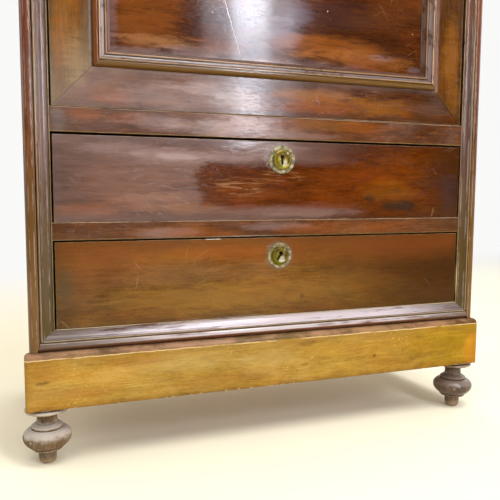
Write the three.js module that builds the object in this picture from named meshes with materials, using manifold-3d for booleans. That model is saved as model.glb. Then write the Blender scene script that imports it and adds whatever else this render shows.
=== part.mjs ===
// Bonnetiere: a tall narrow cupboard with one panelled door above two drawers,
// on a plinth with four turned feet. Millimetres, +Z up, front facing -Y.
// Heights are above the floor. While the pieces are made, y = 0 is the face of
// the door and drawers and y grows towards the back; the whole is then moved so
// that x = y = 0 is the middle of its outline.
import * as THREE from "three";
import { mergeVertices } from "three/addons/utils/BufferGeometryUtils.js";
import Module from "manifold-3d";

// ---------------------------------------------------------------- dimensions
const GAP = 0.3; // between touching pieces

const OPEN_HALF = 382; // half width of the front opening
const STILE_W = 39; // face width of the moulded frame
const BODY_HALF = OPEN_HALF + STILE_W; // 421, outside of the carcass
const SIDE_T = 20; // side panel thickness
const INNER_HALF = BODY_HALF - SIDE_T; // 401
const PROUD = 6.5; // the frame moulding stands this far in front of the door
const STILE_BACK = 25.7; // back face of the stiles
const DEPTH = 432; // back of the sides behind the door face

const PLINTH_HALF = 429;
const PLINTH_FRONT = -14;
const PLINTH_T = 21;
const PLINTH_BOTTOM = 94;
const PLINTH_TOP = 185;
const PLINTH_ROUND = 8;

const Z_BASE = 220; // lower edge of the lower drawer opening
const DRAWER_OPEN = 140;
const RAIL_MID = 28;
const RAIL_DOOR = 38;
const Z_MID = Z_BASE + DRAWER_OPEN; // 360
const Z_UP = Z_MID + RAIL_MID; // 388
const Z_RAIL = Z_UP + DRAWER_OPEN; // 528
const Z_DOOR = Z_RAIL + RAIL_DOOR; // 566
const DOOR_OPEN = 1260;
const Z_TOP = Z_DOOR + DOOR_OPEN; // 1826
const Z_CARC = Z_TOP + STILE_W; // 1865
const CORNICE_H = 80;
const CORNICE_OUT = 45;
const RAIL_DEPTH = 60;

const DOOR_L = -379; // lock side edge
const DOOR_R = 377; // hinge side edge
const DOOR_B = Z_DOOR + 0.8; // the door nearly touches the rail below it
const DOOR_T = Z_TOP - 2.5; // 1823.5
const DOOR_THICK = 22;
const DOOR_FRAME = 76; // width of the door's frame members
const MOULD_AT = 62; // outer edge of the door moulding, from the door's edge
const PANEL_IN = 65.5; // edge of the panel, from the door's edge
const PANEL_Y0 = 5;
const PANEL_Y1 = 15;

const PIVOT_X = DOOR_R - 12; // 365
const PIVOT_Y = 7;
const PIN_R = 4;
const PIN_HOLE_R = 4.6;

const FRONT_HALF = 379; // half width of a drawer front
const FRONT_T = 20;
const DRAWER_SIDE_T = 12;
const DRAWER_DEPTH = 400;
const DRAWER_CLEAR = 0.6; // below a drawer front

const FOOT_X = 397;
const FOOT_X_BACK = 386; // flange flush with the plinth side
const FOOT_Y_FRONT = 18;
const FOOT_Y_BACK = 393;
const TENON_R = 9;

const SHELVES = [980, 1395]; // undersides
const SHELF_T = 18;
const DADO = 6;

const Y_SHIFT = -(DEPTH - PROUD - CORNICE_OUT) / 2; // centres the outline in depth

// ------------------------------------------------------------------ materials
const wood = (color, roughness = 0.45) =>
  new THREE.MeshStandardMaterial({ color, roughness, metalness: 0 });
const MAHOGANY = 0x5a2c1a;
const HONEY = 0x8a5526;
const FOOTWOOD = 0x5b4233;
const PINE = 0xa9824f;
const OAK = 0x9a7548;
const brass = () =>
  new THREE.MeshStandardMaterial({ color: 0xa98a4a, roughness: 0.4, metalness: 1 });
const steel = () =>
  new THREE.MeshStandardMaterial({ color: 0x6a6864, roughness: 0.45, metalness: 1 });

// -------------------------------------------------------------------- helpers
const wasm = await Module();
wasm.setup();

// A closed prism: a profile of [a, b] points, and two functions that place a
// profile point on the first and on the last section.
function prism(profile, first, last) {
  const pts = profile.map(([a, b]) => new THREE.Vector2(a, b));
  if (THREE.ShapeUtils.isClockWise(pts)) pts.reverse();
  const n = pts.length;
  const v = [];
  for (const place of [first, last])
    for (const p of pts) v.push(...place(p.x, p.y));
  const idx = [];
  for (const [a, b, c] of THREE.ShapeUtils.triangulateShape(pts, [])) {
    idx.push(a, c, b);
    idx.push(n + a, n + b, n + c);
  }
  for (let i = 0; i < n; i++) {
    const j = (i + 1) % n;
    idx.push(i, j, n + j, i, n + j, n + i);
  }
  const g = new THREE.BufferGeometry();
  g.setAttribute("position", new THREE.Float32BufferAttribute(v, 3));
  let vol = 0;
  const A = new THREE.Vector3(),
    B = new THREE.Vector3(),
    C = new THREE.Vector3();
  for (let i = 0; i < idx.length; i += 3) {
    A.fromArray(v, idx[i] * 3);
    B.fromArray(v, idx[i + 1] * 3);
    C.fromArray(v, idx[i + 2] * 3);
    vol += A.dot(B.clone().cross(C));
  }
  if (vol < 0) {
    for (let i = 0; i < idx.length; i += 3)
      [idx[i + 1], idx[i + 2]] = [idx[i + 2], idx[i + 1]];
  }
  g.setIndex(idx);
  return g;
}
const alongX = (profile, x0, x1) =>
  prism(profile, (y, z) => [x0, y, z], (y, z) => [x1, y, z]);
const alongY = (profile, y0, y1) =>
  prism(profile, (x, z) => [x, y0, z], (x, z) => [x, y1, z]);
const alongZ = (profile, z0, z1) =>
  prism(profile, (x, y) => [x, y, z0], (x, y) => [x, y, z1]);

// A box between two corners.
function box(x0, x1, y0, y1, z0, z1) {
  const g = new THREE.BoxGeometry(x1 - x0, y1 - y0, z1 - z0);
  g.translate((x0 + x1) / 2, (y0 + y1) / 2, (z0 + z1) / 2);
  return g;
}
// A cylinder along an axis.
function cyl(axis, r, at, from, to, seg = 24) {
  const g = new THREE.CylinderGeometry(r, r, to - from, seg);
  if (axis === "x") g.rotateZ(Math.PI / 2);
  if (axis === "z") g.rotateX(Math.PI / 2);
  const mid = (from + to) / 2;
  if (axis === "x") g.translate(mid, at[0], at[1]);
  if (axis === "y") g.translate(at[0], mid, at[1]);
  if (axis === "z") g.translate(at[0], at[1], mid);
  return g;
}
function solid(geometry) {
  const g = geometry.clone();
  g.deleteAttribute("normal");
  g.deleteAttribute("uv");
  const m = mergeVertices(g, 1e-4);
  return new wasm.Manifold(
    new wasm.Mesh({
      numProp: 3,
      vertProperties: new Float32Array(m.attributes.position.array),
      triVerts: new Uint32Array(m.index.array),
    }),
  );
}
function back(s) {
  const m = s.getMesh(),
    n = m.numProp,
    v = new Float32Array(m.numVert * 3);
  for (let i = 0; i < m.numVert; i++)
    v.set(m.vertProperties.subarray(i * n, i * n + 3), i * 3);
  const g = new THREE.BufferGeometry();
  g.setAttribute("position", new THREE.BufferAttribute(v, 3));
  g.setIndex(new THREE.BufferAttribute(new Uint32Array(m.triVerts), 1));
  return g;
}
const cut = (g, ...tools) =>
  back(tools.reduce((s, t) => s.subtract(solid(t)), solid(g)));
const join = (g, ...more) =>
  back(more.reduce((s, t) => s.add(solid(t)), solid(g)));

// Points of an arc, centre (a, b), radius r, from angle t0 to t1 in degrees.
const arc = (a, b, r, t0, t1, n) =>
  Array.from({ length: n + 1 }, (_, i) => {
    const t = ((t0 + ((t1 - t0) * i) / n) * Math.PI) / 180;
    return [a + r * Math.cos(t), b + r * Math.sin(t)];
  });

const cabinet = new THREE.Group();
function add(name, geometry, material) {
  const g = geometry.index ? geometry.toNonIndexed() : geometry;
  g.deleteAttribute("normal");
  g.deleteAttribute("uv");
  g.computeVertexNormals();
  const mesh = new THREE.Mesh(g, material);
  mesh.name = name;
  cabinet.add(mesh);
  return mesh;
}

// --------------------------------------------------- moulded frame of the front
// Face profile of the frame, [s, h]: s outwards from the opening, h in front of
// the door face. Fillet, wide hollow, fillet, groove, rounded outer band.
const FRAME_FACE = [
  [0, 0.6], [1.6, 0.6], [2.2, -0.8], [5, -1.3], [8.5, -0.9], [12, 0.6],
  [15, 2.8], [17.4, 5.2], [18.6, 5.4], [19.0, 6.3], [21.2, 6.3], [21.6, 4.2],
  [23.2, 4.2], [23.7, 5.6], [25.5, 6.3], [28.5, PROUD], [32, 6.2], [35, 4.8],
  [37.2, 2.6], [38.5, 0], [39, -3],
];
// closed [s, y] profile of a frame member
const FRAME_PROFILE = [
  ...FRAME_FACE.map(([s, h]) => [s, -h]),
  [39, STILE_BACK],
  [0, STILE_BACK],
];
const BASE_H = Z_BASE - (PLINTH_TOP + GAP) - 0; // visible height of the base moulding
const BASE_K = BASE_H / STILE_W; // the base keeps the profile, a little lower

// Seen from the front, a base corner is mitred only as far as the hollow goes;
// from there the outer band of the base runs on against the band of the stile.
// Cutter for one side of that line, shifted by d outwards (along x).
const cornerLine = (side, d, outer) =>
  alongY(
    [
      [OPEN_HALF - 12 + d, Z_BASE + 12 * BASE_K],
      [OPEN_HALF + 21.6 + d, Z_BASE - 21.6 * BASE_K],
      [OPEN_HALF + 27.5 + d, PLINTH_TOP],
      [OPEN_HALF + 29 + d, PLINTH_TOP - 20],
      ...(outer
        ? [[OPEN_HALF + 70, PLINTH_TOP - 20], [OPEN_HALF + 70, Z_BASE + 12 * BASE_K]]
        : [[OPEN_HALF - 60, PLINTH_TOP - 20], [OPEN_HALF - 60, Z_BASE + 12 * BASE_K]]),
    ].map(([x, z]) => [side * x, z]),
    -30,
    60,
  );
const stile = (side) =>
  cut(
    prism(
      FRAME_PROFILE,
      (s, y) => [side * (OPEN_HALF + s), y, PLINTH_TOP + GAP],
      (s, y) => [side * (OPEN_HALF + s), y, Z_TOP + s - GAP / 2],
    ),
    cornerLine(side, GAP / 2, false),
  );
add("stile_left", cut(stile(-1),
  // mortise for the door bolt
  box(-396, -381, 10.5, 19.5, 1192, 1222)), wood(MAHOGANY));
add("stile_right", stile(1), wood(MAHOGANY));
add(
  "base_moulding",
  cut(
    prism(
      FRAME_PROFILE,
      (s, y) => [-(OPEN_HALF + 45), y, Z_BASE - s * BASE_K],
      (s, y) => [OPEN_HALF + 45, y, Z_BASE - s * BASE_K],
    ),
    cornerLine(-1, -GAP / 2, true),
    cornerLine(1, -GAP / 2, true),
  ),
  wood(MAHOGANY),
);
add(
  "top_moulding",
  cut(
    prism(
      FRAME_PROFILE,
      (s, y) => [-(OPEN_HALF + s) + GAP / 2, y, Z_TOP + s + GAP / 2],
      (s, y) => [OPEN_HALF + s - GAP / 2, y, Z_TOP + s + GAP / 2],
    ),
    box(PIVOT_X - 20, PIVOT_X + 16, PIVOT_Y - 6, PIVOT_Y + 6, Z_TOP - 1, Z_TOP + 3.6),
  ),
  wood(MAHOGANY),
);

// ---------------------------------------------------------------- carcass sides
const Z_SIDE0 = PLINTH_TOP + GAP;
const Z_SIDE1 = Z_CARC - GAP;
const Y_IN = STILE_BACK + GAP; // 26
const BOTTOM_Z = [192, 208];
const FLOOR_Z = [548, Z_DOOR];
const TOPB_Z = [1840, 1858];
const boards = [BOTTOM_Z, FLOOR_Z, ...SHELVES.map((z) => [z, z + SHELF_T]), TOPB_Z];
for (const [name, side] of [["side_panel_left", -1], ["side_panel_right", 1]]) {
  const xa = side * INNER_HALF,
    xb = side * BODY_HALF;
  const g = box(Math.min(xa, xb), Math.max(xa, xb), Y_IN, DEPTH, Z_SIDE0, Z_SIDE1);
  const housings = boards.map(([z0, z1], i) => {
    const d = side * (INNER_HALF + DADO);
    const y0 = i === 1 ? RAIL_DEPTH : i === 2 || i === 3 ? 44 : Y_IN - 1;
    return box(Math.min(side * 400, d), Math.max(side * 400, d), y0, 412.6, z0 - GAP, z1 + GAP);
  });
  add(name, cut(g, ...housings), wood(MAHOGANY));
}
const board = (z0, z1, y0, y1) =>
  box(-(INNER_HALF + DADO - GAP), INNER_HALF + DADO - GAP, y0, y1, z0, z1);
add("bottom_board", board(...BOTTOM_Z, Y_IN, 412), wood(PINE));
add("cupboard_floor", board(...FLOOR_Z, RAIL_DEPTH + GAP, 412), wood(PINE));
add("shelf_lower", board(SHELVES[0], SHELVES[0] + SHELF_T, 44.5, 412), wood(PINE));
add("shelf_upper", board(SHELVES[1], SHELVES[1] + SHELF_T, 44.5, 412), wood(PINE));
add("top_board", board(...TOPB_Z, Y_IN, 412), wood(PINE));
add(
  "back_panel",
  box(-(INNER_HALF - GAP), INNER_HALF - GAP, 412 + GAP, 424, Z_SIDE0, Z_SIDE1),
  wood(PINE),
);

// ------------------------------------------------------------------ front rails
// Plan of a rail: narrow between the stiles, wider behind them.
const RAIL_PLAN = [
  [-(OPEN_HALF - GAP), 0],
  [OPEN_HALF - GAP, 0],
  [OPEN_HALF - GAP, Y_IN],
  [INNER_HALF - GAP, Y_IN],
  [INNER_HALF - GAP, RAIL_DEPTH],
  [-(INNER_HALF - GAP), RAIL_DEPTH],
  [-(INNER_HALF - GAP), Y_IN],
  [-(OPEN_HALF - GAP), Y_IN],
];
const drawerBoltMortise = (z) => box(-16, 16, 9.5, 18.5, z - 1, z + 10);
add(
  "rail_between_drawers",
  cut(alongZ(RAIL_PLAN, Z_MID, Z_UP), drawerBoltMortise(Z_MID)),
  wood(MAHOGANY),
);
add(
  "rail_under_door",
  cut(
    alongZ(RAIL_PLAN, Z_RAIL, Z_DOOR),
    drawerBoltMortise(Z_RAIL),
    box(PIVOT_X - 20, PIVOT_X + 16, PIVOT_Y - 6, PIVOT_Y + 6, Z_DOOR - 3.6, Z_DOOR + 1),
  ),
  wood(MAHOGANY),
);

// --------------------------------------------------------------- drawer runners
function runner(side, z) {
  const x = (v) => side * v;
  const top = z + 0.5;
  const plan = [
    [x(362), top - 16.2],
    [x(INNER_HALF - GAP), top - 16.2 + (z === Z_BASE ? 4 : 0)],
    [x(INNER_HALF - GAP), top + 25],
    [x(380.5), top + 25],
    [x(380.5), top],
    [x(362), top],
  ];
  plan[0][1] = plan[1][1];
  return alongY(plan, z === Z_BASE ? Y_IN + GAP : RAIL_DEPTH + GAP, 412 - GAP);
}
for (const [n, side] of [["left", -1], ["right", 1]]) {
  add("runner_lower_" + n, runner(side, Z_BASE), wood(OAK));
  add("runner_upper_" + n, runner(side, Z_UP), wood(OAK));
}

// ----------------------------------------------------------------------- plinth
// The front board runs across the whole width and past the sides. Its upper
// edge, its ends and its corners are rounded.
const PLINTH_BACK = PLINTH_FRONT + PLINTH_T; // back of the front board
const plinthEnd = (s) => {
  const R = PLINTH_ROUND,
    x = PLINTH_HALF;
  return [
    // rounded upper edge of the end
    alongY(
      [
        [x + 1, PLINTH_TOP + 1], [x - R, PLINTH_TOP + 1],
        ...arc(x - R, PLINTH_TOP - R, R, 90, 0, 6),
        [x + 1, PLINTH_TOP - R],
      ].map(([a, b]) => [s * a, b]),
      PLINTH_FRONT - 5,
      PLINTH_BACK + 5,
    ),
    // rounded upright corner
    alongZ(
      [
        [x + 1, PLINTH_FRONT - 1], [x + 1, PLINTH_FRONT + 5],
        ...arc(x - 5, PLINTH_FRONT + 5, 5, 0, -90, 5),
        [x - 5, PLINTH_FRONT - 1],
      ].map(([a, b]) => [s * a, b]),
      PLINTH_BOTTOM - 5,
      PLINTH_TOP + 5,
    ),
  ];
};
add(
  "plinth_front",
  cut(
    alongX(
      [
        [PLINTH_BACK, PLINTH_BOTTOM],
        [PLINTH_FRONT + 1, PLINTH_BOTTOM],
        [PLINTH_FRONT, PLINTH_BOTTOM + 1],
        ...arc(PLINTH_FRONT + PLINTH_ROUND, PLINTH_TOP - PLINTH_ROUND, PLINTH_ROUND, 180, 90, 6),
        [PLINTH_BACK, PLINTH_TOP],
      ],
      -PLINTH_HALF,
      PLINTH_HALF,
    ),
    ...plinthEnd(-1),
    ...plinthEnd(1),
  ),
  wood(HONEY),
);
const PLINTH_IN = BODY_HALF - 13; // inner face of the side boards, 408
for (const [n, s] of [["left", -1], ["right", 1]]) {
  // side board, in line with the side of the carcass
  add(
    "plinth_side_" + n,
    box(
      Math.min(s * PLINTH_IN, s * BODY_HALF), Math.max(s * PLINTH_IN, s * BODY_HALF),
      PLINTH_BACK + GAP, DEPTH, PLINTH_BOTTOM, PLINTH_TOP,
    ),
    wood(HONEY),
  );
  const bx = [350, PLINTH_IN - GAP];
  add(
    "bearer_" + n,
    cut(
      box(
        Math.min(s * bx[0], s * bx[1]), Math.max(s * bx[0], s * bx[1]),
        PLINTH_BACK + GAP, DEPTH - GAP, PLINTH_BOTTOM, PLINTH_BOTTOM + 40,
      ),
      cyl("z", TENON_R + 0.4, [s * FOOT_X, FOOT_Y_FRONT], PLINTH_BOTTOM - 1, PLINTH_BOTTOM + 34),
      cyl("z", TENON_R + 0.4, [s * FOOT_X_BACK, FOOT_Y_BACK], PLINTH_BOTTOM - 1, PLINTH_BOTTOM + 34),
    ),
    wood(PINE),
  );
}

// ------------------------------------------------------------------ turned feet
// [radius, height]: worn tip, lower ring, flattened ball, shoulder ring, neck,
// thin flange under the plinth, tenon.
const FOOT = [
  [0, 0], [8.8, 0], [11.4, 1.6], [13.2, 4.8], [14, 9.5], [14.2, 20],
  [15.6, 20.8], [15.6, 22.2], [22, 22.4], [25.2, 24.6], [24.8, 26.8],
  [29.6, 29.6], [34.2, 34], [37.3, 39.4], [38.2, 44.2], [37.4, 49],
  [34.4, 53.2], [30, 56.4], [24.4, 58],
  [25.2, 60], [25, 61.8], [22.6, 63.6], [17.4, 66.8], [16.2, 71], [16.2, 78],
  [18.4, 83], [28, 85.4], [34, 86.6], [35, 88.2], [34, 90.2], [29, 91.6],
  [28.6, PLINTH_BOTTOM - GAP],
  [TENON_R, PLINTH_BOTTOM - GAP], [TENON_R, PLINTH_BOTTOM + 32], [0, PLINTH_BOTTOM + 32],
];
for (const [n, x, y] of [
  ["front_left", -FOOT_X, FOOT_Y_FRONT], ["front_right", FOOT_X, FOOT_Y_FRONT],
  ["back_left", -FOOT_X_BACK, FOOT_Y_BACK], ["back_right", FOOT_X_BACK, FOOT_Y_BACK],
]) {
  const g = new THREE.LatheGeometry(FOOT.map(([r, z]) => new THREE.Vector2(r, z)), 20);
  g.rotateX(Math.PI / 2);
  g.translate(x, y, 0);
  add("foot_" + n, back(solid(g)), wood(FOOTWOOD, 0.55));
}

// ---------------------------------------------------------------------- cornice
// [out, up]: bed fillet, bead, deep ogee, fillet, rounded top member.
const CORNICE_FACE = [
  [3, 0], [3, 5], [1.5, 6], [1.5, 8], [4.6, 10], [5.6, 13], [4.6, 16], [3, 17.6], [3, 20],
  [3.6, 27], [6.4, 34.5], [12.2, 41], [20.5, 46], [28.4, 50.4], [34, 56], [36.4, 61.5],
  [36.8, 64], [40, 64], [40, 67], [42.4, 67.6], [44.4, 70], [CORNICE_OUT, 73.5],
  [44.2, 77], [42, 79.3], [39.5, CORNICE_H],
];
const CORNICE_PROFILE = [...CORNICE_FACE, [-24, CORNICE_H], [-24, 0]];
const Z_CORN = Z_CARC + GAP;
const YF = -PROUD; // line of the front face
add(
  "cornice_front",
  prism(
    CORNICE_PROFILE,
    (o, u) => [-(BODY_HALF + o) + GAP / 2, YF - o, Z_CORN + u],
    (o, u) => [BODY_HALF + o - GAP / 2, YF - o, Z_CORN + u],
  ),
  wood(MAHOGANY),
);
for (const [n, s] of [["left", -1], ["right", 1]])
  add(
    "cornice_" + n,
    prism(
      CORNICE_PROFILE,
      (o, u) => [s * (BODY_HALF + o), YF - o + GAP / 2, Z_CORN + u],
      (o, u) => [s * (BODY_HALF + o), DEPTH, Z_CORN + u],
    ),
    wood(MAHOGANY),
  );

// --------------------------------------------------------------- door and panel
// Frame member, [s, y]: s from the door's outer edge inwards, grooved for the panel.
const DOOR_PROFILE = [
  [0, 0], [DOOR_FRAME, 0], [DOOR_FRAME, PANEL_Y0 - GAP], [PANEL_IN - 1, PANEL_Y0 - GAP],
  [PANEL_IN - 1, PANEL_Y1 + GAP], [DOOR_FRAME, PANEL_Y1 + GAP], [DOOR_FRAME, DOOR_THICK], [0, DOOR_THICK],
];
const pinHole = cyl("z", PIN_HOLE_R, [PIVOT_X, PIVOT_Y], DOOR_B - 1, DOOR_B + 15);
const pinHoleTop = cyl("z", PIN_HOLE_R, [PIVOT_X, PIVOT_Y], DOOR_T - 15, DOOR_T + 1);
// A keyhole along y: round eye above, narrow slot below.
const keyhole = (x, z, y0, y1) => {
  const outline = [
    ...arc(x, z + 4.5, 3.8, -58, 238, 12),
    [x - 2, z - 9],
    [x + 2, z - 9],
  ];
  return alongY(outline, y0, y1);
};
const DOOR_KEY = [-350, 1180];
const G2 = GAP / 2;
const LOCK_W = 62,
  LOCK_Z0 = 1150,
  LOCK_Z1 = 1230;
add(
  "door_stile_left",
  cut(
    prism(
      DOOR_PROFILE,
      (s, y) => [DOOR_L + s, y, DOOR_B + s + G2],
      (s, y) => [DOOR_L + s, y, DOOR_T - s - G2],
    ),
    box(DOOR_L - 1, DOOR_L + LOCK_W, 8, DOOR_THICK + 1, LOCK_Z0, LOCK_Z1),
    keyhole(DOOR_KEY[0], DOOR_KEY[1], -1, 9),
  ),
  wood(MAHOGANY),
);
add(
  "door_stile_right",
  cut(
    prism(
      DOOR_PROFILE,
      (s, y) => [DOOR_R - s, y, DOOR_B + s + G2],
      (s, y) => [DOOR_R - s, y, DOOR_T - s - G2],
    ),
    pinHole,
    pinHoleTop,
  ),
  wood(MAHOGANY),
);
add(
  "door_rail_bottom",
  cut(
    prism(
      DOOR_PROFILE,
      (s, y) => [DOOR_L + s + G2, y, DOOR_B + s],
      (s, y) => [DOOR_R - s - G2, y, DOOR_B + s],
    ),
    pinHole,
  ),
  wood(MAHOGANY),
);
add(
  "door_rail_top",
  cut(
    prism(
      DOOR_PROFILE,
      (s, y) => [DOOR_L + s + G2, y, DOOR_T - s],
      (s, y) => [DOOR_R - s - G2, y, DOOR_T - s],
    ),
    pinHoleTop,
  ),
  wood(MAHOGANY),
);
add(
  "door_panel",
  box(DOOR_L + PANEL_IN, DOOR_R - PANEL_IN, PANEL_Y0, PANEL_Y1, DOOR_B + PANEL_IN, DOOR_T - PANEL_IN),
  wood(MAHOGANY, 0.35),
);

// Applied moulding, [t, h]: t inwards from its outer edge, h in front of the
// door face. Torus, quirk, fillet, hollow, bead, slope down to the panel.
const BOLECTION = [
  [0, GAP], [0, 1.8], [0.8, 4.6], [2.3, 7.6], [4.6, 9.7], [7, 10.5], [8.8, 10], [9.3, 8.6],
  [10, 8.6], [10.2, 11], [12, 11], [12.6, 9.3], [14, 6.8], [16, 5.1], [18.2, 4.2], [18.6, 3.2],
  [19.3, 3.2], [20, 4.5], [21.4, 5], [22.8, 4.3], [23.5, 3], [26, 0], [28, -2.9], [28.8, -4],
  [28.8, GAP - PANEL_Y0], [DOOR_FRAME - MOULD_AT + GAP, GAP - PANEL_Y0], [DOOR_FRAME - MOULD_AT + GAP, GAP],
];
const mouldAt = MOULD_AT;
add("door_moulding_left", prism(BOLECTION,
  (t, h) => [DOOR_L + mouldAt + t, -h, DOOR_B + mouldAt + t + G2],
  (t, h) => [DOOR_L + mouldAt + t, -h, DOOR_T - mouldAt - t - G2]), wood(MAHOGANY));
add("door_moulding_right", prism(BOLECTION,
  (t, h) => [DOOR_R - mouldAt - t, -h, DOOR_B + mouldAt + t + G2],
  (t, h) => [DOOR_R - mouldAt - t, -h, DOOR_T - mouldAt - t - G2]), wood(MAHOGANY));
add("door_moulding_bottom", prism(BOLECTION,
  (t, h) => [DOOR_L + mouldAt + t + G2, -h, DOOR_B + mouldAt + t],
  (t, h) => [DOOR_R - mouldAt - t - G2, -h, DOOR_B + mouldAt + t]), wood(MAHOGANY));
add("door_moulding_top", prism(BOLECTION,
  (t, h) => [DOOR_L + mouldAt + t + G2, -h, DOOR_T - mouldAt - t],
  (t, h) => [DOOR_R - mouldAt - t - G2, -h, DOOR_T - mouldAt - t]), wood(MAHOGANY));

// door lock: a case let into the back of the stile, its bolt slides to the left
const BOLT_Z = [1199, 1215];
add(
  "door_lock_case",
  cut(
    box(DOOR_L + GAP, DOOR_L + LOCK_W - GAP, 8 + GAP, DOOR_THICK - 0.5, LOCK_Z0 + GAP, LOCK_Z1 - GAP),
    box(DOOR_L - 1, DOOR_L + 36, 12.6, 17.4, BOLT_Z[0] - 0.4, BOLT_Z[1] + 0.4),
    keyhole(DOOR_KEY[0], DOOR_KEY[1], 7, 16),
  ),
  steel(),
);
add(
  "door_lock_bolt",
  box(DOOR_L + 0.8, DOOR_L + 35, 13, 17, BOLT_Z[0], BOLT_Z[1]),
  brass(),
);

// Round escutcheon with a raised ring, [radius, stand-off], keyhole cut through.
function escutcheon(x, z, profile, tilt = 0) {
  const g = new THREE.LatheGeometry(
    [[0, GAP], ...profile, [0, profile[profile.length - 1][1]]].map(([r, h]) => new THREE.Vector2(r, h)),
    24,
  );
  // lathe axis y is turned to point to the front
  g.rotateX(Math.PI);
  const hole = keyhole(0, 0, -10, 5);
  hole.rotateY(tilt);
  const c = cut(back(solid(g)), hole);
  c.translate(x, 0, z);
  return c;
}
const ESC_LARGE = [
  [24.5, GAP], [24.5, 0.9], [23.8, 1.2], [18.6, 1.3], [18.1, 2.4], [16.8, 3.9], [14.6, 4.5],
  [12.4, 3.9], [10.8, 2.7], [9.8, 2.3],
];
const ESC_SMALL = [
  [22.5, GAP], [22.5, 1], [21.6, 1.5], [19.6, 1.5], [18.8, 1.1], [16, 1.2], [15.4, 2.4],
  [14.2, 3.8], [12.6, 4.2], [11, 3.6], [10, 2.7], [9.2, 2.4],
];
add("door_escutcheon", escutcheon(DOOR_KEY[0], DOOR_KEY[1], ESC_SMALL), brass());

// ----------------------------------------------------------------------- pivots
// A plate let into the rail with an upright pin; the upper one is its mirror.
add(
  "pivot_lower",
  join(
    box(PIVOT_X - 19.6, PIVOT_X + 15.6, PIVOT_Y - 5.6, PIVOT_Y + 5.6, Z_DOOR - 3.3, Z_DOOR),
    cyl("z", PIN_R, [PIVOT_X, PIVOT_Y], Z_DOOR - 1, DOOR_B + 13),
  ),
  steel(),
);
add(
  "pivot_upper",
  join(
    box(PIVOT_X - 19.6, PIVOT_X + 15.6, PIVOT_Y - 5.6, PIVOT_Y + 5.6, Z_TOP + 0.15, Z_TOP + 3.3),
    cyl("z", PIN_R, [PIVOT_X, PIVOT_Y], DOOR_T - 13, Z_TOP + 1),
  ),
  steel(),
);

// ---------------------------------------------------------------------- drawers
const KEY_LOWER = [0, 325]; // keyhole centres, the lower escutcheon is turned a little
const KEY_UPPER = [3, 493];
const SIDE_H = 125;
const TAILS = [36, 68, 100]; // heights of the dovetails above the side's lower edge
const FRONT_LOWER = 136.4; // heights of the fronts, both have dropped a little
const FRONT_UPPER = 135.4;
const LOCK_HALF = 32,
  LOCK_H = 50;
function drawer(which, z, key, height) {
  const z0 = z + DRAWER_CLEAR,
    z1 = z0 + height;
  const s0 = z + 1; // lower edge of the drawer sides
  const tail = (zc, w, x0, x1, y0) =>
    alongX([[y0, zc - 9.5 - w], [y0, zc + 9.5 + w], [FRONT_T + 2, zc + 6.5 + w], [FRONT_T + 2, zc - 6.5 - w]], x0, x1);
  const xi = FRONT_HALF - DRAWER_SIDE_T;
  const b0 = s0 + 10,
    b1 = b0 + 7; // bottom panel
  // front
  const sockets = TAILS.flatMap((t) => [
    tail(s0 + t, GAP, xi - GAP, FRONT_HALF + 2, 7 - GAP),
    tail(s0 + t, GAP, -FRONT_HALF - 2, -(xi - GAP), 7 - GAP),
  ]);
  add(
    "drawer_" + which + "_front",
    cut(
      box(-FRONT_HALF, FRONT_HALF, 0, FRONT_T, z0, z1),
      ...sockets,
      box(-(xi + 5.8), xi + 5.8, FRONT_T - 6, FRONT_T + 1, b0 - GAP, b1 + GAP),
      box(-LOCK_HALF, LOCK_HALF, 8, FRONT_T + 1, z1 - LOCK_H, z1 + 1),
      keyhole(key[0], key[1], -1, 9),
    ),
    wood(MAHOGANY),
  );
  // sides
  for (const [n, s] of [["left", -1], ["right", 1]]) {
    const x = [s * xi, s * FRONT_HALF].sort((a, b) => a - b);
    const plank = cut(
      box(x[0], x[1], FRONT_T + GAP, DRAWER_DEPTH, s0, s0 + SIDE_H),
      s > 0
        ? box(xi - 1, xi + 6, FRONT_T - 1, DRAWER_DEPTH + 1, b0 - GAP, b1 + GAP)
        : box(-xi - 6, -xi + 1, FRONT_T - 1, DRAWER_DEPTH + 1, b0 - GAP, b1 + GAP),
    );
    add(
      "drawer_" + which + "_side_" + n,
      join(plank, ...TAILS.map((t) => tail(s0 + t, 0, x[0], x[1], 7))),
      wood(OAK),
    );
  }
  add(
    "drawer_" + which + "_bottom",
    box(-(xi + 5.5), xi + 5.5, FRONT_T - 5.5, DRAWER_DEPTH, b0, b1),
    wood(OAK),
  );
  add(
    "drawer_" + which + "_back",
    box(-(xi - GAP), xi - GAP, DRAWER_DEPTH - 12, DRAWER_DEPTH, b1 + GAP, s0 + SIDE_H - 6),
    wood(OAK),
  );
  // lock and bolt
  const bz = [z1 - 21, z1 - 0.6];
  add(
    "drawer_" + which + "_lock_case",
    cut(
      box(-LOCK_HALF + GAP, LOCK_HALF - GAP, 8 + GAP, FRONT_T - 0.5, z1 - LOCK_H + GAP, z1 - 0.2),
      box(-13.4, 13.4, 11.6, 16.4, bz[0] - 0.4, z1 + 1),
      keyhole(key[0], key[1], 7, 11.4),
    ),
    steel(),
  );
  add("drawer_" + which + "_lock_bolt", box(-13, 13, 12, 16, bz[0], bz[1]), brass());
}
drawer("lower", Z_BASE, KEY_LOWER, FRONT_LOWER);
drawer("upper", Z_UP, KEY_UPPER, FRONT_UPPER);
add("drawer_lower_escutcheon", escutcheon(...KEY_LOWER, ESC_SMALL, 0.5), brass());
add("drawer_upper_escutcheon", escutcheon(...KEY_UPPER, ESC_LARGE), brass());

cabinet.position.y = Y_SHIFT;
export default cabinet;
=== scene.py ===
import math
import random
import bpy
import bmesh
import numpy as np
from mathutils import Matrix, Vector, noise


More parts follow.
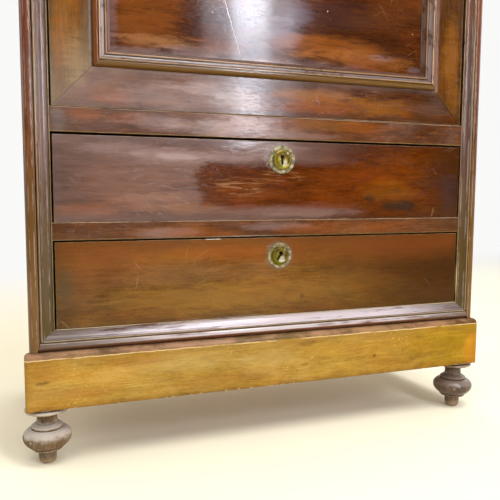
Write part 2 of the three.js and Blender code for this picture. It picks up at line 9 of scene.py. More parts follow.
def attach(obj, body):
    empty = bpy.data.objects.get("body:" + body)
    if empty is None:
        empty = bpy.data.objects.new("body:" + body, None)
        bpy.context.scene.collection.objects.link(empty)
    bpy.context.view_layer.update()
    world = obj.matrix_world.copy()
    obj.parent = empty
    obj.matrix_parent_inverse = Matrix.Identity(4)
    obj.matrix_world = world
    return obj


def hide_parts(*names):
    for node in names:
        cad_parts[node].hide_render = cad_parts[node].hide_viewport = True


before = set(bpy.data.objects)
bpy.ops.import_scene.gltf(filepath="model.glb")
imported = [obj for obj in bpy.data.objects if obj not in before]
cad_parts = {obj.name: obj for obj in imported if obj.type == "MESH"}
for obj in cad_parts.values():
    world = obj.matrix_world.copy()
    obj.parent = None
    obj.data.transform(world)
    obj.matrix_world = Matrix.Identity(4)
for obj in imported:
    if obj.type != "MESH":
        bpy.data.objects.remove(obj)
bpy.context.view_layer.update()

# All shapes are written in millimetres: x to the right, y = 0 at the face of
# the door and the drawers and growing to the back, z up from the floor.
Y_SHIFT = -190.25
GAP = 0.3
OPEN_HALF, STILE_W, BODY_HALF, INNER_HALF = 382.0, 39.0, 421.0, 401.0
STILE_BACK, DEPTH = 25.7, 432.0
Z_BASE, Z_MID, Z_UP, Z_RAIL, Z_DOOR = 220.0, 360.0, 388.0, 528.0, 566.0
Z_TOP, Z_CARC = 1826.0, 1865.0
DOOR_L, DOOR_R, DOOR_B, DOOR_T, DOOR_THICK = -379.0, 377.0, 566.8, 1823.5, 22.0
PLINTH_FRONT, PLINTH_BOTTOM, PLINTH_TOP, PLINTH_HALF = -14.0, 94.0, 185.0, 429.0
PIVOT_X, PIVOT_Y = 365.0, 7.0


# ------------------------------------------------------------------ mesh tools
def to_row(points):
    a = np.asarray(points, float).copy()
    a[:, 1] += Y_SHIFT
    return a / 1000.0


def refine(profile, step=1.4, corner=36.0, radius=0.5, straight=7.0):
    """A closed profile made finer: smooth runs are curved, outward corners get a
    small worn radius. Returns the points, the edge weight and the grime weight."""
    p = np.asarray(profile, float)
    n = len(p)
    area = 0.5 * sum(p[i][0] * p[(i + 1) % n][1] - p[(i + 1) % n][0] * p[i][1] for i in range(n))
    if area < 0:
        p = p[::-1]
    d = np.roll(p, -1, 0) - p
    length = np.hypot(d[:, 0], d[:, 1])
    u = d / length[:, None]
    turn = np.array([
        math.degrees(math.atan2(u[i - 1][0] * u[i][1] - u[i - 1][1] * u[i][0], float(np.dot(u[i - 1], u[i]))))
        for i in range(n)
    ])
    is_corner = np.abs(turn) > corner
    out, edge, grime = [], [], []
    for i in range(n):
        j = (i + 1) % n
        a, b, L = p[i], p[j], length[i]
        if is_corner[i]:
            if turn[i] > 0:
                r = min(radius, 0.4 * L, 0.4 * length[i - 1])
                A, B = a - u[i - 1] * r, a + u[i] * r
                for q in (A, 0.25 * A + 0.5 * a + 0.25 * B, B):
                    out.append(q), edge.append(1.0), grime.append(0.0)
            else:
                out.append(a), edge.append(0.0), grime.append(1.0)
        else:
            bend = min(1.0, abs(turn[i]) / 30.0)
            out.append(a), edge.append(0.35 * bend if turn[i] > 12 else 0.0), grime.append(0.3 * bend if turn[i] < -12 else 0.0)
        ta = u[i] if is_corner[i] else (u[i - 1] + u[i]) / max(1e-9, np.linalg.norm(u[i - 1] + u[i]))
        tb = u[i] if is_corner[j] else (u[i] + u[j]) / max(1e-9, np.linalg.norm(u[i] + u[j]))
        flat = np.dot(ta, u[i]) > 0.9995 and np.dot(tb, u[i]) > 0.9995
        k = max(1, math.ceil(L / (straight if flat else step)))
        near = [(radius + 0.5) / L, 1 - (radius + 0.5) / L] if L > 2.6 else []
        if flat and L > 6:
            ts = sorted(set([0.0] + [x / L for x in (1.1, 2.4, 4.6) if x < L / 2] + [1 - x / L for x in (4.6, 2.4, 1.1) if x < L / 2]
                            + [q / k for q in range(1, k) if 5.0 < L * q / k < L - 5.0] + [1.0]))[1:-1]
        else:
            ts = sorted(set([q / k for q in range(1, k)] + near))
        for t in ts:
            h00, h10 = 2 * t**3 - 3 * t**2 + 1, t**3 - 2 * t**2 + t
            h01, h11 = -2 * t**3 + 3 * t**2, t**3 - t**2
            q = h00 * a + h10 * L * ta + h01 * b + h11 * L * tb
            # a long run bulges no more than a short one would
            side = np.array([-u[i][1], u[i][0]])
            out.append(q - side * float(np.dot(q - a, side)) * (1 - min(1.0, 9.0 / L)))
            edge.append(0.0), grime.append(0.0)
    # and no run goes past the outermost points of the profile
    return np.clip(np.array(out), p.min(0), p.max(0)), np.array(edge), np.array(grime)


def new_mesh(name, verts, faces, edge=None, grime=None):
    me = bpy.data.meshes.new(name)
    me.from_pydata([tuple(v) for v in to_row(verts)], [], faces)
    bm = bmesh.new()
    bm.from_mesh(me)
    bmesh.ops.recalc_face_normals(bm, faces=bm.faces)
    bm.to_mesh(me)
    bm.free()
    for key, value in (("edge", edge), ("grime", grime)):
        att = me.attributes.new(key, "FLOAT", "POINT")
        if value is not None:
            att.data.foreach_set("value", np.asarray(value, np.float32))
    ob = bpy.data.objects.new(name, me)
    bpy.context.scene.collection.objects.link(ob)
    return ob


def sweep(name, profile, first, last, step=12.0, cap=None, **kw):
    """Closed profile carried from one end section to the other."""
    pts, edge, grime = refine(profile, **kw)
    n = len(pts)
    P0 = np.array([first(a, b) for a, b in pts], float)
    P1 = np.array([last(a, b) for a, b in pts], float)
    length = np.linalg.norm(P1.mean(0) - P0.mean(0))
    k = max(2, int(round(length / step)))
    ts = np.linspace(0, 1, k + 1)
    verts = np.concatenate([P0 + (P1 - P0) * t for t in ts])
    m = len(ts)
    faces = []
    for s in range(m - 1):
        a, b = s * n, (s + 1) * n
        for i in range(n):
            j = (i + 1) % n
            faces.append((a + i, a + j, b + j, b + i))
    e, g = np.tile(edge, m), np.tile(grime, m)
    for ring, ref in ((0, 1), (m - 1, m - 2)):
        base = np.arange(ring * n, ring * n + n)
        if cap:
            # the end face gets an inner ring, so that wear stays at its rim
            c = verts[base]
            mid = c.mean(0)
            ins = c + (mid - c) / np.linalg.norm(mid - c, axis=1)[:, None] * cap
            start = len(verts)
            verts = np.concatenate([verts, ins])
            e = np.concatenate([e, np.zeros(n)])
            g = np.concatenate([g, np.zeros(n)])
            e[base] = 1.0
            for i in range(n):
                j = (i + 1) % n
                faces.append((base[i], base[j], start + j, start + i))
            faces.append(tuple(range(start, start + n)))
        else:
            faces.append(tuple(int(v) for v in base))
    return new_mesh(name, verts, faces, e, g)


def lines(lo, hi, r, step, fine=(0.9, 2.4, 6.0)):
    L = hi - lo
    offs = [0.0, 0.3 * r, 0.7 * r, r] + [r + s for s in fine if r + s < L / 2 - 0.8]
    a, b = lo + offs[-1], hi - offs[-1]
    n = max(1, int(round((b - a) / step)))
    return [lo + o for o in offs] + [a + (b - a) * i / n for i in range(1, n)] + [hi - o for o in reversed(offs)]


def slab(name, lo, hi, r=0.8, step=(12, 12, 12), warp=None, wear=2.2, extra=((), (), ())):
    """A board with softened edges, as a fine mesh. Its edge weight falls off
    over `wear` millimetres from the nearest edge."""
    lo, hi = np.array(lo, float), np.array(hi, float)
    ax = [sorted(set(lines(lo[i], hi[i], r, step[i]) + list(extra[i]))) for i in range(3)]
    idx, verts, faces = {}, [], []

    def vid(i, j, k):
        key = (i, j, k)
        if key not in idx:
            idx[key] = len(verts)
            verts.append((ax[0][i], ax[1][j], ax[2][k]))
        return idx[key]

    nx, ny, nz = (len(a) - 1 for a in ax)
    for j in (0, ny):
        for i in range(nx):
            for k in range(nz):
                faces.append((vid(i, j, k), vid(i + 1, j, k), vid(i + 1, j, k + 1), vid(i, j, k + 1)))
    for i in (0, nx):
        for j in range(ny):
            for k in range(nz):
                faces.append((vid(i, j, k), vid(i, j + 1, k), vid(i, j + 1, k + 1), vid(i, j, k + 1)))
    for k in (0, nz):
        for i in range(nx):
            for j in range(ny):
                faces.append((vid(i, j, k), vid(i + 1, j, k), vid(i + 1, j + 1, k), vid(i, j + 1, k)))
    v = np.array(verts)
    inner = np.clip(v, lo + r, hi - r)
    out = v - inner
    norm = np.linalg.norm(out, axis=1)
    norm[norm == 0] = 1
    dist = np.sort(np.minimum(v - lo, hi - v), axis=1)[:, 1]
    edge = np.clip(1 - dist / wear, 0, 1)
    v = inner + out / norm[:, None] * r
    if warp is not None:
        v = warp(v)
    return new_mesh(name, v, faces, edge)


def weather(ob, amp=0.1, size=80.0, seed=0, chips=(), keep=None):
    """Wears a piece inwards: a slow unevenness and local dents, in millimetres."""
    me = ob.data
    n = len(me.vertices)
    co = np.empty(n * 3)
    nr = np.empty(n * 3)
    me.vertices.foreach_get("co", co)
    me.vertex_normals.foreach_get("vector", nr)
    co, nr = co.reshape(-1, 3), nr.reshape(-1, 3)
    depth = np.zeros(n)
    if amp:
        s = 1000.0 / size
        for i in range(n):
            q = Vector(co[i]) * s + Vector((seed * 7.3, 0, seed))
            depth[i] = amp * (0.5 + 0.5 * noise.noise(q))
    mm = co * 1000.0
    mm[:, 1] -= Y_SHIFT
    edge = np.zeros(n, np.float32)
    if "edge" in me.attributes:
        me.attributes["edge"].data.foreach_get("value", edge)
    for x, y, z, r, d in chips:
        q = mm - np.array([x, y, z])
        f = np.clip(1 - (q * q).sum(1) / (r * r), 0, 1)
        depth = np.maximum(depth, d * f**1.5)
        edge = np.maximum(edge, np.clip(f * 1.6, 0, 1).astype(np.float32))
    if chips and "edge" in me.attributes:
        me.attributes["edge"].data.foreach_set("value", edge)
    co -= nr * depth[:, None] / 1000.0
    me.vertices.foreach_set("co", co.ravel())
    me.update()


def turned(name, open_profile, at, segments=96, front=False, oval=0.004, seed=1, step=0.8):
    """Turned piece from an open profile that starts and ends on the axis."""
    p = np.asarray(open_profile, float)
    n = len(p)
    d = p[1:] - p[:-1]
    L = np.hypot(d[:, 0], d[:, 1])
    u = d / L[:, None]
    rows = []
    for i in range(n - 1):
        prev = u[i - 1] if i else None
        turn = 0.0
        if prev is not None:
            turn = math.degrees(math.atan2(prev[0] * u[i][1] - prev[1] * u[i][0], float(np.dot(prev, u[i]))))
        sharp = abs(turn) > 38
        if sharp and turn > 0:
            r = min(0.45, 0.4 * L[i], 0.4 * L[i - 1])
            A, B = p[i] - prev * r, p[i] + u[i] * r
            for q in (A, 0.25 * A + 0.5 * p[i] + 0.25 * B, B):
                rows.append((q, 1.0, 0.0))
        else:
            rows.append((p[i], 0.4 if turn > 14 else 0.0, 1.0 if (sharp and turn < 0) else (0.35 if turn < -14 else 0.0)))
        nxt = u[i + 1] if i + 2 < n else None
        turn2 = 0.0
        if nxt is not None:
            turn2 = math.degrees(math.atan2(u[i][0] * nxt[1] - u[i][1] * nxt[0], float(np.dot(u[i], nxt))))
        ta = u[i] if (prev is None or sharp) else (prev + u[i]) / np.linalg.norm(prev + u[i])
        tb = u[i] if (nxt is None or abs(turn2) > 38) else (u[i] + nxt) / np.linalg.norm(u[i] + nxt)
        k = max(1, math.ceil(L[i] / step))
        if np.dot(ta, u[i]) > 0.9995 and np.dot(tb, u[i]) > 0.9995:
            k = max(1, math.ceil(L[i] / 3.0))
        for q in range(1, k):
            t = q / k
            h00, h10 = 2 * t**3 - 3 * t**2 + 1, t**3 - 2 * t**2 + t
            h01, h11 = -2 * t**3 + 3 * t**2, t**3 - t**2
            rows.append((h00 * p[i] + h10 * L[i] * ta + h01 * p[i + 1] + h11 * L[i] * tb, 0.0, 0.0))
    rows.append((p[-1], 0.0, 0.0))
    rows = [(np.clip(q, p.min(0), p.max(0)), e, g) for q, e, g in rows]
    rng = random.Random(seed)
    ph = [rng.random() * 6.28 for _ in range(3)]
    verts, faces, ed, gr = [], [], [], []
    rings = []
    for q, e, g in rows:
        if q[0] < 1e-6:
            rings.append([len(verts)])
            verts.append((at[0], -q[1], at[1]) if front else (at[0], at[1], q[1]))
            ed.append(0.0), gr.append(0.0)
            continue
        ring = []
        for s in range(segments):
            t = 2 * math.pi * s / segments
            k = 1 - oval * (0.5 + 0.5 * math.sin(2 * t + ph[0])) - 0.4 * oval * (0.5 + 0.5 * math.sin(3 * t + ph[1]))
            R = q[0] * k
            ring.append(len(verts))
            verts.append((at[0] + R * math.cos(t), -q[1], at[1] + R * math.sin(t)) if front
                         else (at[0] + R * math.cos(t), at[1] + R * math.sin(t), q[1]))
            ed.append(e), gr.append(g)
        rings.append(ring)
    for a, b in zip(rings, rings[1:]):
        if len(a) == 1 and len(b) == 1:
            continue
        for s in range(segments):
            t = (s + 1) % segments
            if len(a) == 1:
                faces.append((a[0], b[s], b[t]))
            elif len(b) == 1:
                faces.append((a[s], a[t], b[0]))
            else:
                faces.append((a[s], a[t], b[t], b[s]))
    return new_mesh(name, verts, faces, ed, gr)


def tool_box(lo, hi):
    (x0, y0, z0), (x1, y1, z1) = lo, hi
    v = [(x, y, z) for x in (x0, x1) for y in (y0, y1) for z in (z0, z1)]
    f = [(0, 1, 3, 2), (4, 6, 7, 5), (0, 4, 5, 1), (2, 3, 7, 6), (0, 2, 6, 4), (1, 5, 7, 3)]
    return v, f


def tool_prism(outline, a0, a1, axis):
    """Outline of (p, q) points carried along an axis: 0 = x (outline y, z), 1 = y (outline x, z), 2 = z (outline x, y)."""
    place = {0: lambda p, q, a: (a, p, q), 1: lambda p, q, a: (p, a, q), 2: lambda p, q, a: (p, q, a)}[axis]
    n = len(outline)
    v = [place(p, q, a0) for p, q in outline] + [place(p, q, a1) for p, q in outline]
    f = [(i, (i + 1) % n, n + (i + 1) % n, n + i) for i in range(n)]
    f += [tuple(range(n)), tuple(range(n, 2 * n))]
    return v, f


def circle(x, y, r, n=32):
    return [(x + r * math.cos(2 * math.pi * i / n), y + r * math.sin(2 * math.pi * i / n)) for i in range(n)]


def keyhole(x, z, tilt=0.0, grow=0.0):
    pts = [(3.8 * math.cos(math.radians(t)), 4.5 + 3.8 * math.sin(math.radians(t))) for t in np.linspace(-58, 238, 25)]
    pts += [(-2.0, -8.3), (-1.7, -8.85), (-1.0, -9.0), (1.0, -9.0), (1.7, -8.85), (2.0, -8.3)]
    c, s = math.cos(tilt), math.sin(tilt)
    return [(x + p * c + q * s, z - p * s + q * c) for p, q in pts]


def cut(ob, *tools, operation="DIFFERENCE"):
    for i, (v, f) in enumerate(tools):
        t = new_mesh(ob.name + "_tool", v, f)
        m = ob.modifiers.new("cut", "BOOLEAN")
        m.operation, m.solver, m.object = operation, "EXACT", t
        dg = bpy.context.evaluated_depsgraph_get()
        me = bpy.data.meshes.new_from_object(ob.evaluated_get(dg), preserve_all_data_layers=True, depsgraph=dg)
        ob.modifiers.clear()
        old = ob.data
        ob.data = me
        bpy.data.meshes.remove(old)
        tm = t.data
        bpy.data.objects.remove(t)
        bpy.data.meshes.remove(tm)
    ob.data.name = ob.name
    for key in ("edge", "grime"):
        if key not in ob.data.attributes:
            ob.data.attributes.new(key, "FLOAT", "POINT")


def shade(ob, angle=32):
    me = ob.data
    me.shade_smooth()
    me.set_sharp_from_angle(angle=math.radians(angle))


def place(ob, node, body, slot, material, angle=32):
    shade(ob, angle)
    ob.data.materials.clear()
    ob.data.materials.append(material)
    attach(ob, body)
    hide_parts(*([node] if isinstance(node, str) else node))
    return ob


def row(ob_chips, seed, n, p0, p1, r=(1.5, 4.5), d=(0.4, 1.4)):
    """n seeded dents scattered on the line from p0 to p1."""
    rng = random.Random(seed)
    p0, p1 = np.array(p0, float), np.array(p1, float)
    for _ in range(n):
        c = p0 + (p1 - p0) * rng.random()
        rr = r[0] + (r[1] - r[0]) * rng.random() ** 2
        ob_chips.append((c[0], c[1], c[2], rr, d[0] + (d[1] - d[0]) * rng.random() ** 2))
    return ob_chips


# ------------------------------------------------------------------- materials
def srgb(r, g, b):
    f = lambda c: c / 12.92 if c <= 0.04045 else ((c + 0.055) / 1.055) ** 2.4
    return (f(r / 255), f(g / 255), f(b / 255), 1.0)


class Net:
    """Short forms for building a node tree."""

    def __init__(self, mat):
        mat.use_nodes = True
        self.t = mat.node_tree
        self.t.nodes.clear()
        self.out = self.t.nodes.new("ShaderNodeOutputMaterial")
        self.bsdf = self.t.nodes.new("ShaderNodeBsdfPrincipled")
        self.t.links.new(self.bsdf.outputs[0], self.out.inputs[0])
        self.coord = self.t.nodes.new("ShaderNodeTexCoord").outputs["Object"]

    def node(self, kind, **props):
        n = self.t.nodes.new(kind)
        for k, v in props.items():
            setattr(n, k, v)
        return n

    def put(self, socket, value):
        if hasattr(value, "is_output"):
            self.t.links.new(value, socket)
        else:
            socket.default_value = value

    def math(self, op, a, b=0.0, c=0.0, clamp=False):
        n = self.node("ShaderNodeMath", operation=op, use_clamp=clamp)
        for s, v in zip(n.inputs, (a, b, c)):
            self.put(s, v)
        return n.outputs[0]

    def vmath(self, op, a, b=(0, 0, 0)):
        n = self.node("ShaderNodeVectorMath", operation=op)
        self.put(n.inputs[0], a)
        self.put(n.inputs[1], b)
        return n.outputs[0]

    def noise(self, vec, scale=1.0, detail=3.0, rough=0.55, dist=0.0, color=False):
        n = self.node("ShaderNodeTexNoise")
        self.put(n.inputs["Vector"], vec)
        n.inputs["Scale"].default_value = scale
        n.inputs["Detail"].default_value = detail
        n.inputs["Roughness"].default_value = rough
        n.inputs["Distortion"].default_value = dist
        return n.outputs["Color" if color else "Fac"]

    def smooth(self, v, a, b):
        n = self.node("ShaderNodeMapRange", interpolation_type="SMOOTHSTEP")
        self.put(n.inputs["Value"], v)
        n.inputs["From Min"].default_value = a
        n.inputs["From Max"].default_value = b
        n.inputs["To Min"].default_value = 0.0
        n.inputs["To Max"].default_value = 1.0
        return n.outputs[0]

    def span(self, v, a, b, lo, hi):
        n = self.node("ShaderNodeMapRange")
        self.put(n.inputs["Value"], v)
        for k, x in (("From Min", a), ("From Max", b), ("To Min", lo), ("To Max", hi)):
            n.inputs[k].default_value = x
        return n.outputs[0]

    def mix(self, fac, a, b, blend="MIX"):
        n = self.node("ShaderNodeMix", data_type="RGBA", blend_type=blend)
        self.put(n.inputs[0], fac)
        self.put(n.inputs[6], a)
        self.put(n.inputs[7], b)
        return n.outputs[2]

    def ramp(self, v, stops):
        n = self.node("ShaderNodeValToRGB")
        self.put(n.inputs[0], v)
        e = n.color_ramp.elements
        e[0].position, e[0].color = stops[0]
        e[1].position, e[1].color = stops[-1]
        for pos, col in stops[1:-1]:
            x = e.new(pos)
            x.color = col
        return n.outputs[0]

    def attribute(self, name):
        n = self.node("ShaderNodeAttribute", attribute_name=name)
        return n.outputs["Fac"]

    def xyz(self, vec):
        n = self.node("ShaderNodeSeparateXYZ")
        self.put(n.inputs[0], vec)
        return n.outputs

    def bump(self, height, strength, distance, normal=None):
        n = self.node("ShaderNodeBump")
        n.inputs["Strength"].default_value = strength
        n.inputs["Distance"].default_value = distance
        self.put(n.inputs["Height"], height)
        if normal is not None:
            self.put(n.inputs["Normal"], normal)
        return n.outputs[0]


def along(net, axis, offset):
    """Object coordinates turned so that the grain runs along x."""
    m = net.node("ShaderNodeMapping")
    net.put(m.inputs["Vector"], net.coord)
    m.inputs["Rotation"].default_value = {"X": (0, 0, 0), "Z": (0, math.pi / 2, 0), "Y": (0, 0, -math.pi / 2)}[axis]
    m.inputs["Location"].default_value = offset
    return m.outputs[0]


def bell(net, value, centre, half, soft):
    """1 inside centre ± half, falling to 0 over soft, in metres."""
    d = net.math("ABSOLUTE", net.math("SUBTRACT", value, centre))
    return net.math("SUBTRACT", 1.0, net.smooth(d, half, half + soft))


PALETTES = {
    # dark line, body, light streak, worn edge, grime in the quirks
    "mahogany": (srgb(42, 19, 7), srgb(78, 42, 18), srgb(110, 66, 30), srgb(196, 166, 130), srgb(20, 14, 7)),
    "rail": (srgb(46, 23, 11), srgb(84, 47, 23), srgb(118, 73, 39), srgb(204, 176, 142), srgb(20, 14, 7)),
    "dark": (srgb(42, 23, 11), srgb(80, 48, 26), srgb(116, 76, 44), srgb(200, 172, 128), srgb(18, 14, 7)),
    "olive": (srgb(58, 35, 14), srgb(96, 65, 33), srgb(128, 92, 50), srgb(200, 178, 138), srgb(26, 19, 8)),
    "honey": (srgb(42, 22, 4), srgb(74, 42, 8), srgb(102, 63, 16), srgb(198, 168, 126), srgb(22, 15, 7)),
    "drawer": (srgb(36, 15, 3), srgb(68, 31, 5), srgb(96, 49, 9), srgb(196, 160, 124), srgb(20, 13, 7)),
    "drawer_gold": (srgb(66, 38, 6), srgb(100, 64, 13), srgb(128, 88, 26), srgb(196, 164, 116), srgb(20, 14, 7)),
    "panel": (srgb(34, 14, 5), srgb(63, 29, 10), srgb(92, 49, 18), srgb(190, 154, 122), srgb(20, 13, 7)),
    "plinth": (srgb(114, 80, 28), srgb(160, 124, 46), srgb(194, 156, 74), srgb(234, 208, 150), srgb(58, 40, 18)),
    "cornice": (srgb(48, 24, 10), srgb(94, 54, 25), srgb(130, 80, 40), srgb(190, 158, 118), srgb(24, 16, 9)),
    "pine": (srgb(120, 84, 48), srgb(168, 126, 78), srgb(192, 152, 102), srgb(206, 172, 126), srgb(70, 50, 32)),
    "oak": (srgb(104, 76, 46), srgb(150, 116, 74), srgb(176, 142, 98), srgb(196, 166, 124), srgb(64, 48, 32)),
}


def rim(N, u, v, u0, u1, v0, v1, width, seed=0.0):
    """1 at the rim of a rectangle, falling to 0 over a ragged width, in metres."""
    a = N.math("MINIMUM", N.math("SUBTRACT", u, u0), N.math("SUBTRACT", u1, u))
    b = N.math("MINIMUM", N.math("SUBTRACT", v, v0), N.math("SUBTRACT", v1, v))
    d = N.math("MINIMUM", a, b)
    n = N.noise(N.vmath("ADD", N.coord, (seed, seed, 0.0)), 22.0, 4.0, 0.6)
    d = N.math("ADD", d, N.math("MULTIPLY", N.math("SUBTRACT", n, 0.5), 1.3 * width))
    return N.math("SUBTRACT", 1.0, N.smooth(d, 0.0, width))


def patch(h, cx, cz, rx, rz, k, tone, jag=1.9, blend="MIX"):
    """Ragged patch with a soft edge round a point of the face, in metres."""
    N = h["N"]
    if "rag" not in h:
        h["x"], h["z"] = local_x(N), local_z(N)
        h["rag"] = N.math("SUBTRACT", N.noise(N.vmath("MULTIPLY", N.coord, (16.0, 16.0, 80.0)), 1.0, 6.0, 0.72, 0.3), 0.5)
    dx = N.math("DIVIDE", N.math("SUBTRACT", h["x"], cx), rx)
    dz = N.math("DIVIDE", N.math("SUBTRACT", h["z"], cz), rz)
    d = N.math("MULTIPLY_ADD", dx, dx, N.math("MULTIPLY", dz, dz))
    d = N.math("MULTIPLY_ADD", h["rag"], 3.0 * jag, d)
    m = N.math("MULTIPLY", N.math("SUBTRACT", 1.0, N.smooth(d, -0.3, 2.0)), 0.8 * k)
    h["col"] = N.mix(m, h["col"], tone, blend)
    return m


# The lilac and the pale tone are painted sheen, the reflection of light on the polish put into the colour; the orange
# and amber tones are the wood's own.
ORANGE, AMBER, PAINTED_LILAC_SHEEN, PAINTED_PALE_SHEEN = srgb(138, 70, 9), srgb(140, 85, 16), srgb(150, 126, 122), srgb(182, 166, 160)


def wood(name, palette, axis="X", offset=(0.0, 0.0, 0.0), gloss=0.32, coat=0.5, coat_rough=0.14, figure=0.0,
         streak=1.0, bump=0.3, haze=0.06, haze_color=srgb(130, 101, 84), extra=None, scratches=0.4, wear=1.0,
         tint=None, mottle=1.0, hues=1.0, face=None, wave=0.45):
    mat = bpy.data.materials.new(name)
    N = Net(mat)
    dark, body, light, worn, grime = PALETTES[palette]
    g = along(N, axis, offset)
    # slow bending of the grain, plus a finer ripple in figured wood
    w0 = N.noise(N.vmath("MULTIPLY", g, (1.6, 7.0, 7.0)), 1.0, 2.0, color=True)
    w0 = N.vmath("SUBTRACT", w0, (0.5, 0.5, 0.5))
    g1 = N.vmath("ADD", g, N.vmath("MULTIPLY", w0, (0.0, 0.03, 0.03)))
    if figure:
        w1 = N.noise(N.vmath("MULTIPLY", g, (9.0, 22.0, 22.0)), 1.0, 2.0, color=True)
        w1 = N.vmath("SUBTRACT", w1, (0.5, 0.5, 0.5))
        g1 = N.vmath("ADD", g1, N.vmath("MULTIPLY", w1, (0.0, 0.010 * figure, 0.010 * figure)))
    broad = N.noise(N.vmath("MULTIPLY", g1, (2.6, 24.0, 24.0)), 1.0, 5.0, 0.62)
    mid = N.noise(N.vmath("MULTIPLY", g1, (13.0, 75.0, 75.0)), 1.0, 4.0, 0.66)
    fine = N.noise(N.vmath("MULTIPLY", g1, (24.0, 300.0, 300.0)), 1.0, 4.0, 0.62)
    hair = N.noise(N.vmath("MULTIPLY", g1, (60.0, 1000.0, 1000.0)), 1.0, 2.0, 0.6)
    cloud = N.noise(N.vmath("MULTIPLY", g, (4.2, 9.0, 9.0)), 1.0, 4.0, 0.62, 0.5)
    blotch = N.noise(N.vmath("MULTIPLY", g, (17.0, 34.0, 34.0)), 1.0, 4.0, 0.65, 0.6)
    speck = N.noise(N.vmath("MULTIPLY", g, (190.0, 300.0, 300.0)), 1.0, 3.0, 0.7)
    pores = N.smooth(N.noise(N.vmath("MULTIPLY", g1, (75.0, 2300.0, 2300.0)), 1.0, 2.0, 0.5), 0.60, 0.72)
    tone = 0.5
    for layer, amount in ((broad, 0.36 * streak), (mid, 0.30 * streak), (fine, 0.52 * streak), (hair, 0.28), (cloud, 0.60 * mottle),
                          (blotch, 0.34 * mottle), (speck, 0.34 * mottle)):
        tone = N.math("MULTIPLY_ADD", N.math("SUBTRACT", layer, 0.5), amount, tone)
    col = N.ramp(tone, [(0.25, dark), (0.5, body), (0.75, light)])
    col = N.mix(N.math("MULTIPLY", pores, 0.3), col, dark)
    # redder and more olive patches
    hue = N.noise(N.vmath("MULTIPLY", g, (4.0, 11.0, 11.0)), 1.6, 3.0, 0.55, 0.4)
    col = N.mix(N.math("MULTIPLY", N.smooth(hue, 0.50, 0.66), 0.8 * hues), col, N.mix(1.0, col, (1.22, 0.98, 0.60, 1), "MULTIPLY"))
    col = N.mix(N.math("MULTIPLY", N.smooth(hue, 0.50, 0.34), 0.8 * hues), col, N.mix(1.0, col, (0.88, 0.84, 0.78, 1), "MULTIPLY"))
    rough = N.span(cloud, 0.3, 0.7, gloss - 0.06, gloss + 0.08)
    rough = N.math("MULTIPLY_ADD", N.math("SUBTRACT", fine, 0.5), 0.12, rough)
    rough = N.math("MULTIPLY_ADD", N.math("SUBTRACT", blotch, 0.5), 0.25, rough)
    # dull bloom in the polish, which also stands for painted sheen: a pale veil put into the colour
    hz = N.noise(N.vmath("MULTIPLY", g, (5.0, 14.0, 14.0)), 1.0, 5.0, 0.66, 0.8)
    hz = N.math("MULTIPLY", N.smooth(hz, 0.44, 0.68), haze)
    hooks = {"N": N, "g": g, "col": col, "rough": rough, "haze": hz, "fine": fine, "hair": hair, "broad": broad, "mid": mid,
             "cloud": cloud, "blotch": blotch, "speck": speck, "dark": dark, "light": light, "worn": worn, "height": None}
    plain, plain_haze = col, hz
    if extra:
        extra(hooks)
    col, rough, hz = hooks["col"], hooks["rough"], hooks["haze"]
    coat = hooks.get("coat", coat)
    if face is not None:
        # the marks stay on the front; behind `face` millimetres the wood is plain and duller
        front = N.smooth(N.xyz(N.coord)[1], (face + 1 + Y_SHIFT) / 1000, (face + Y_SHIFT) / 1000)
        col, hz = N.mix(front, plain, col), N.mix(front, plain_haze, hz)
        coat = N.math("MULTIPLY_ADD", front, N.math("SUBTRACT", coat, 0.12), 0.12)
        if hooks["height"] is not None:
            hooks["height"] = N.math("MULTIPLY", front, hooks["height"])
    # the veil, bloom and painted sheen together, is mixed into the colour
    col = N.mix(hz, col, hooks.get("haze_color", haze_color))
    rough = N.math("MULTIPLY_ADD", hz, 0.22, rough)
    # thin scratches: the coordinates are turned first and stretched afterwards
    if scratches:
        marks = None
        for turn, sx, sz, off in ((0.5, 15.0, 1150.0, 0.0), (-0.85, 19.0, 1250.0, 3.7), (1.35, 17.0, 1200.0, 8.1)):
            m = N.node("ShaderNodeMapping")
            N.put(m.inputs["Vector"], N.coord)
            m.inputs["Rotation"].default_value = (0.0, turn, 0.0)
            m.inputs["Location"].default_value = (off, 0.0, off)
            k = N.smooth(N.noise(N.vmath("MULTIPLY", m.outputs[0], (sx, 9.0, sz)), 1.0, 0.0), 0.80, 0.85)
            marks = k if marks is None else N.math("MAXIMUM", marks, k)
        gate = N.smooth(N.noise(N.coord, 11.0, 2.0), 0.54, 0.66)
        sc = N.math("MULTIPLY", marks, N.math("MULTIPLY", gate, scratches))
        col = N.mix(sc, col, worn)
    else:
        sc = None
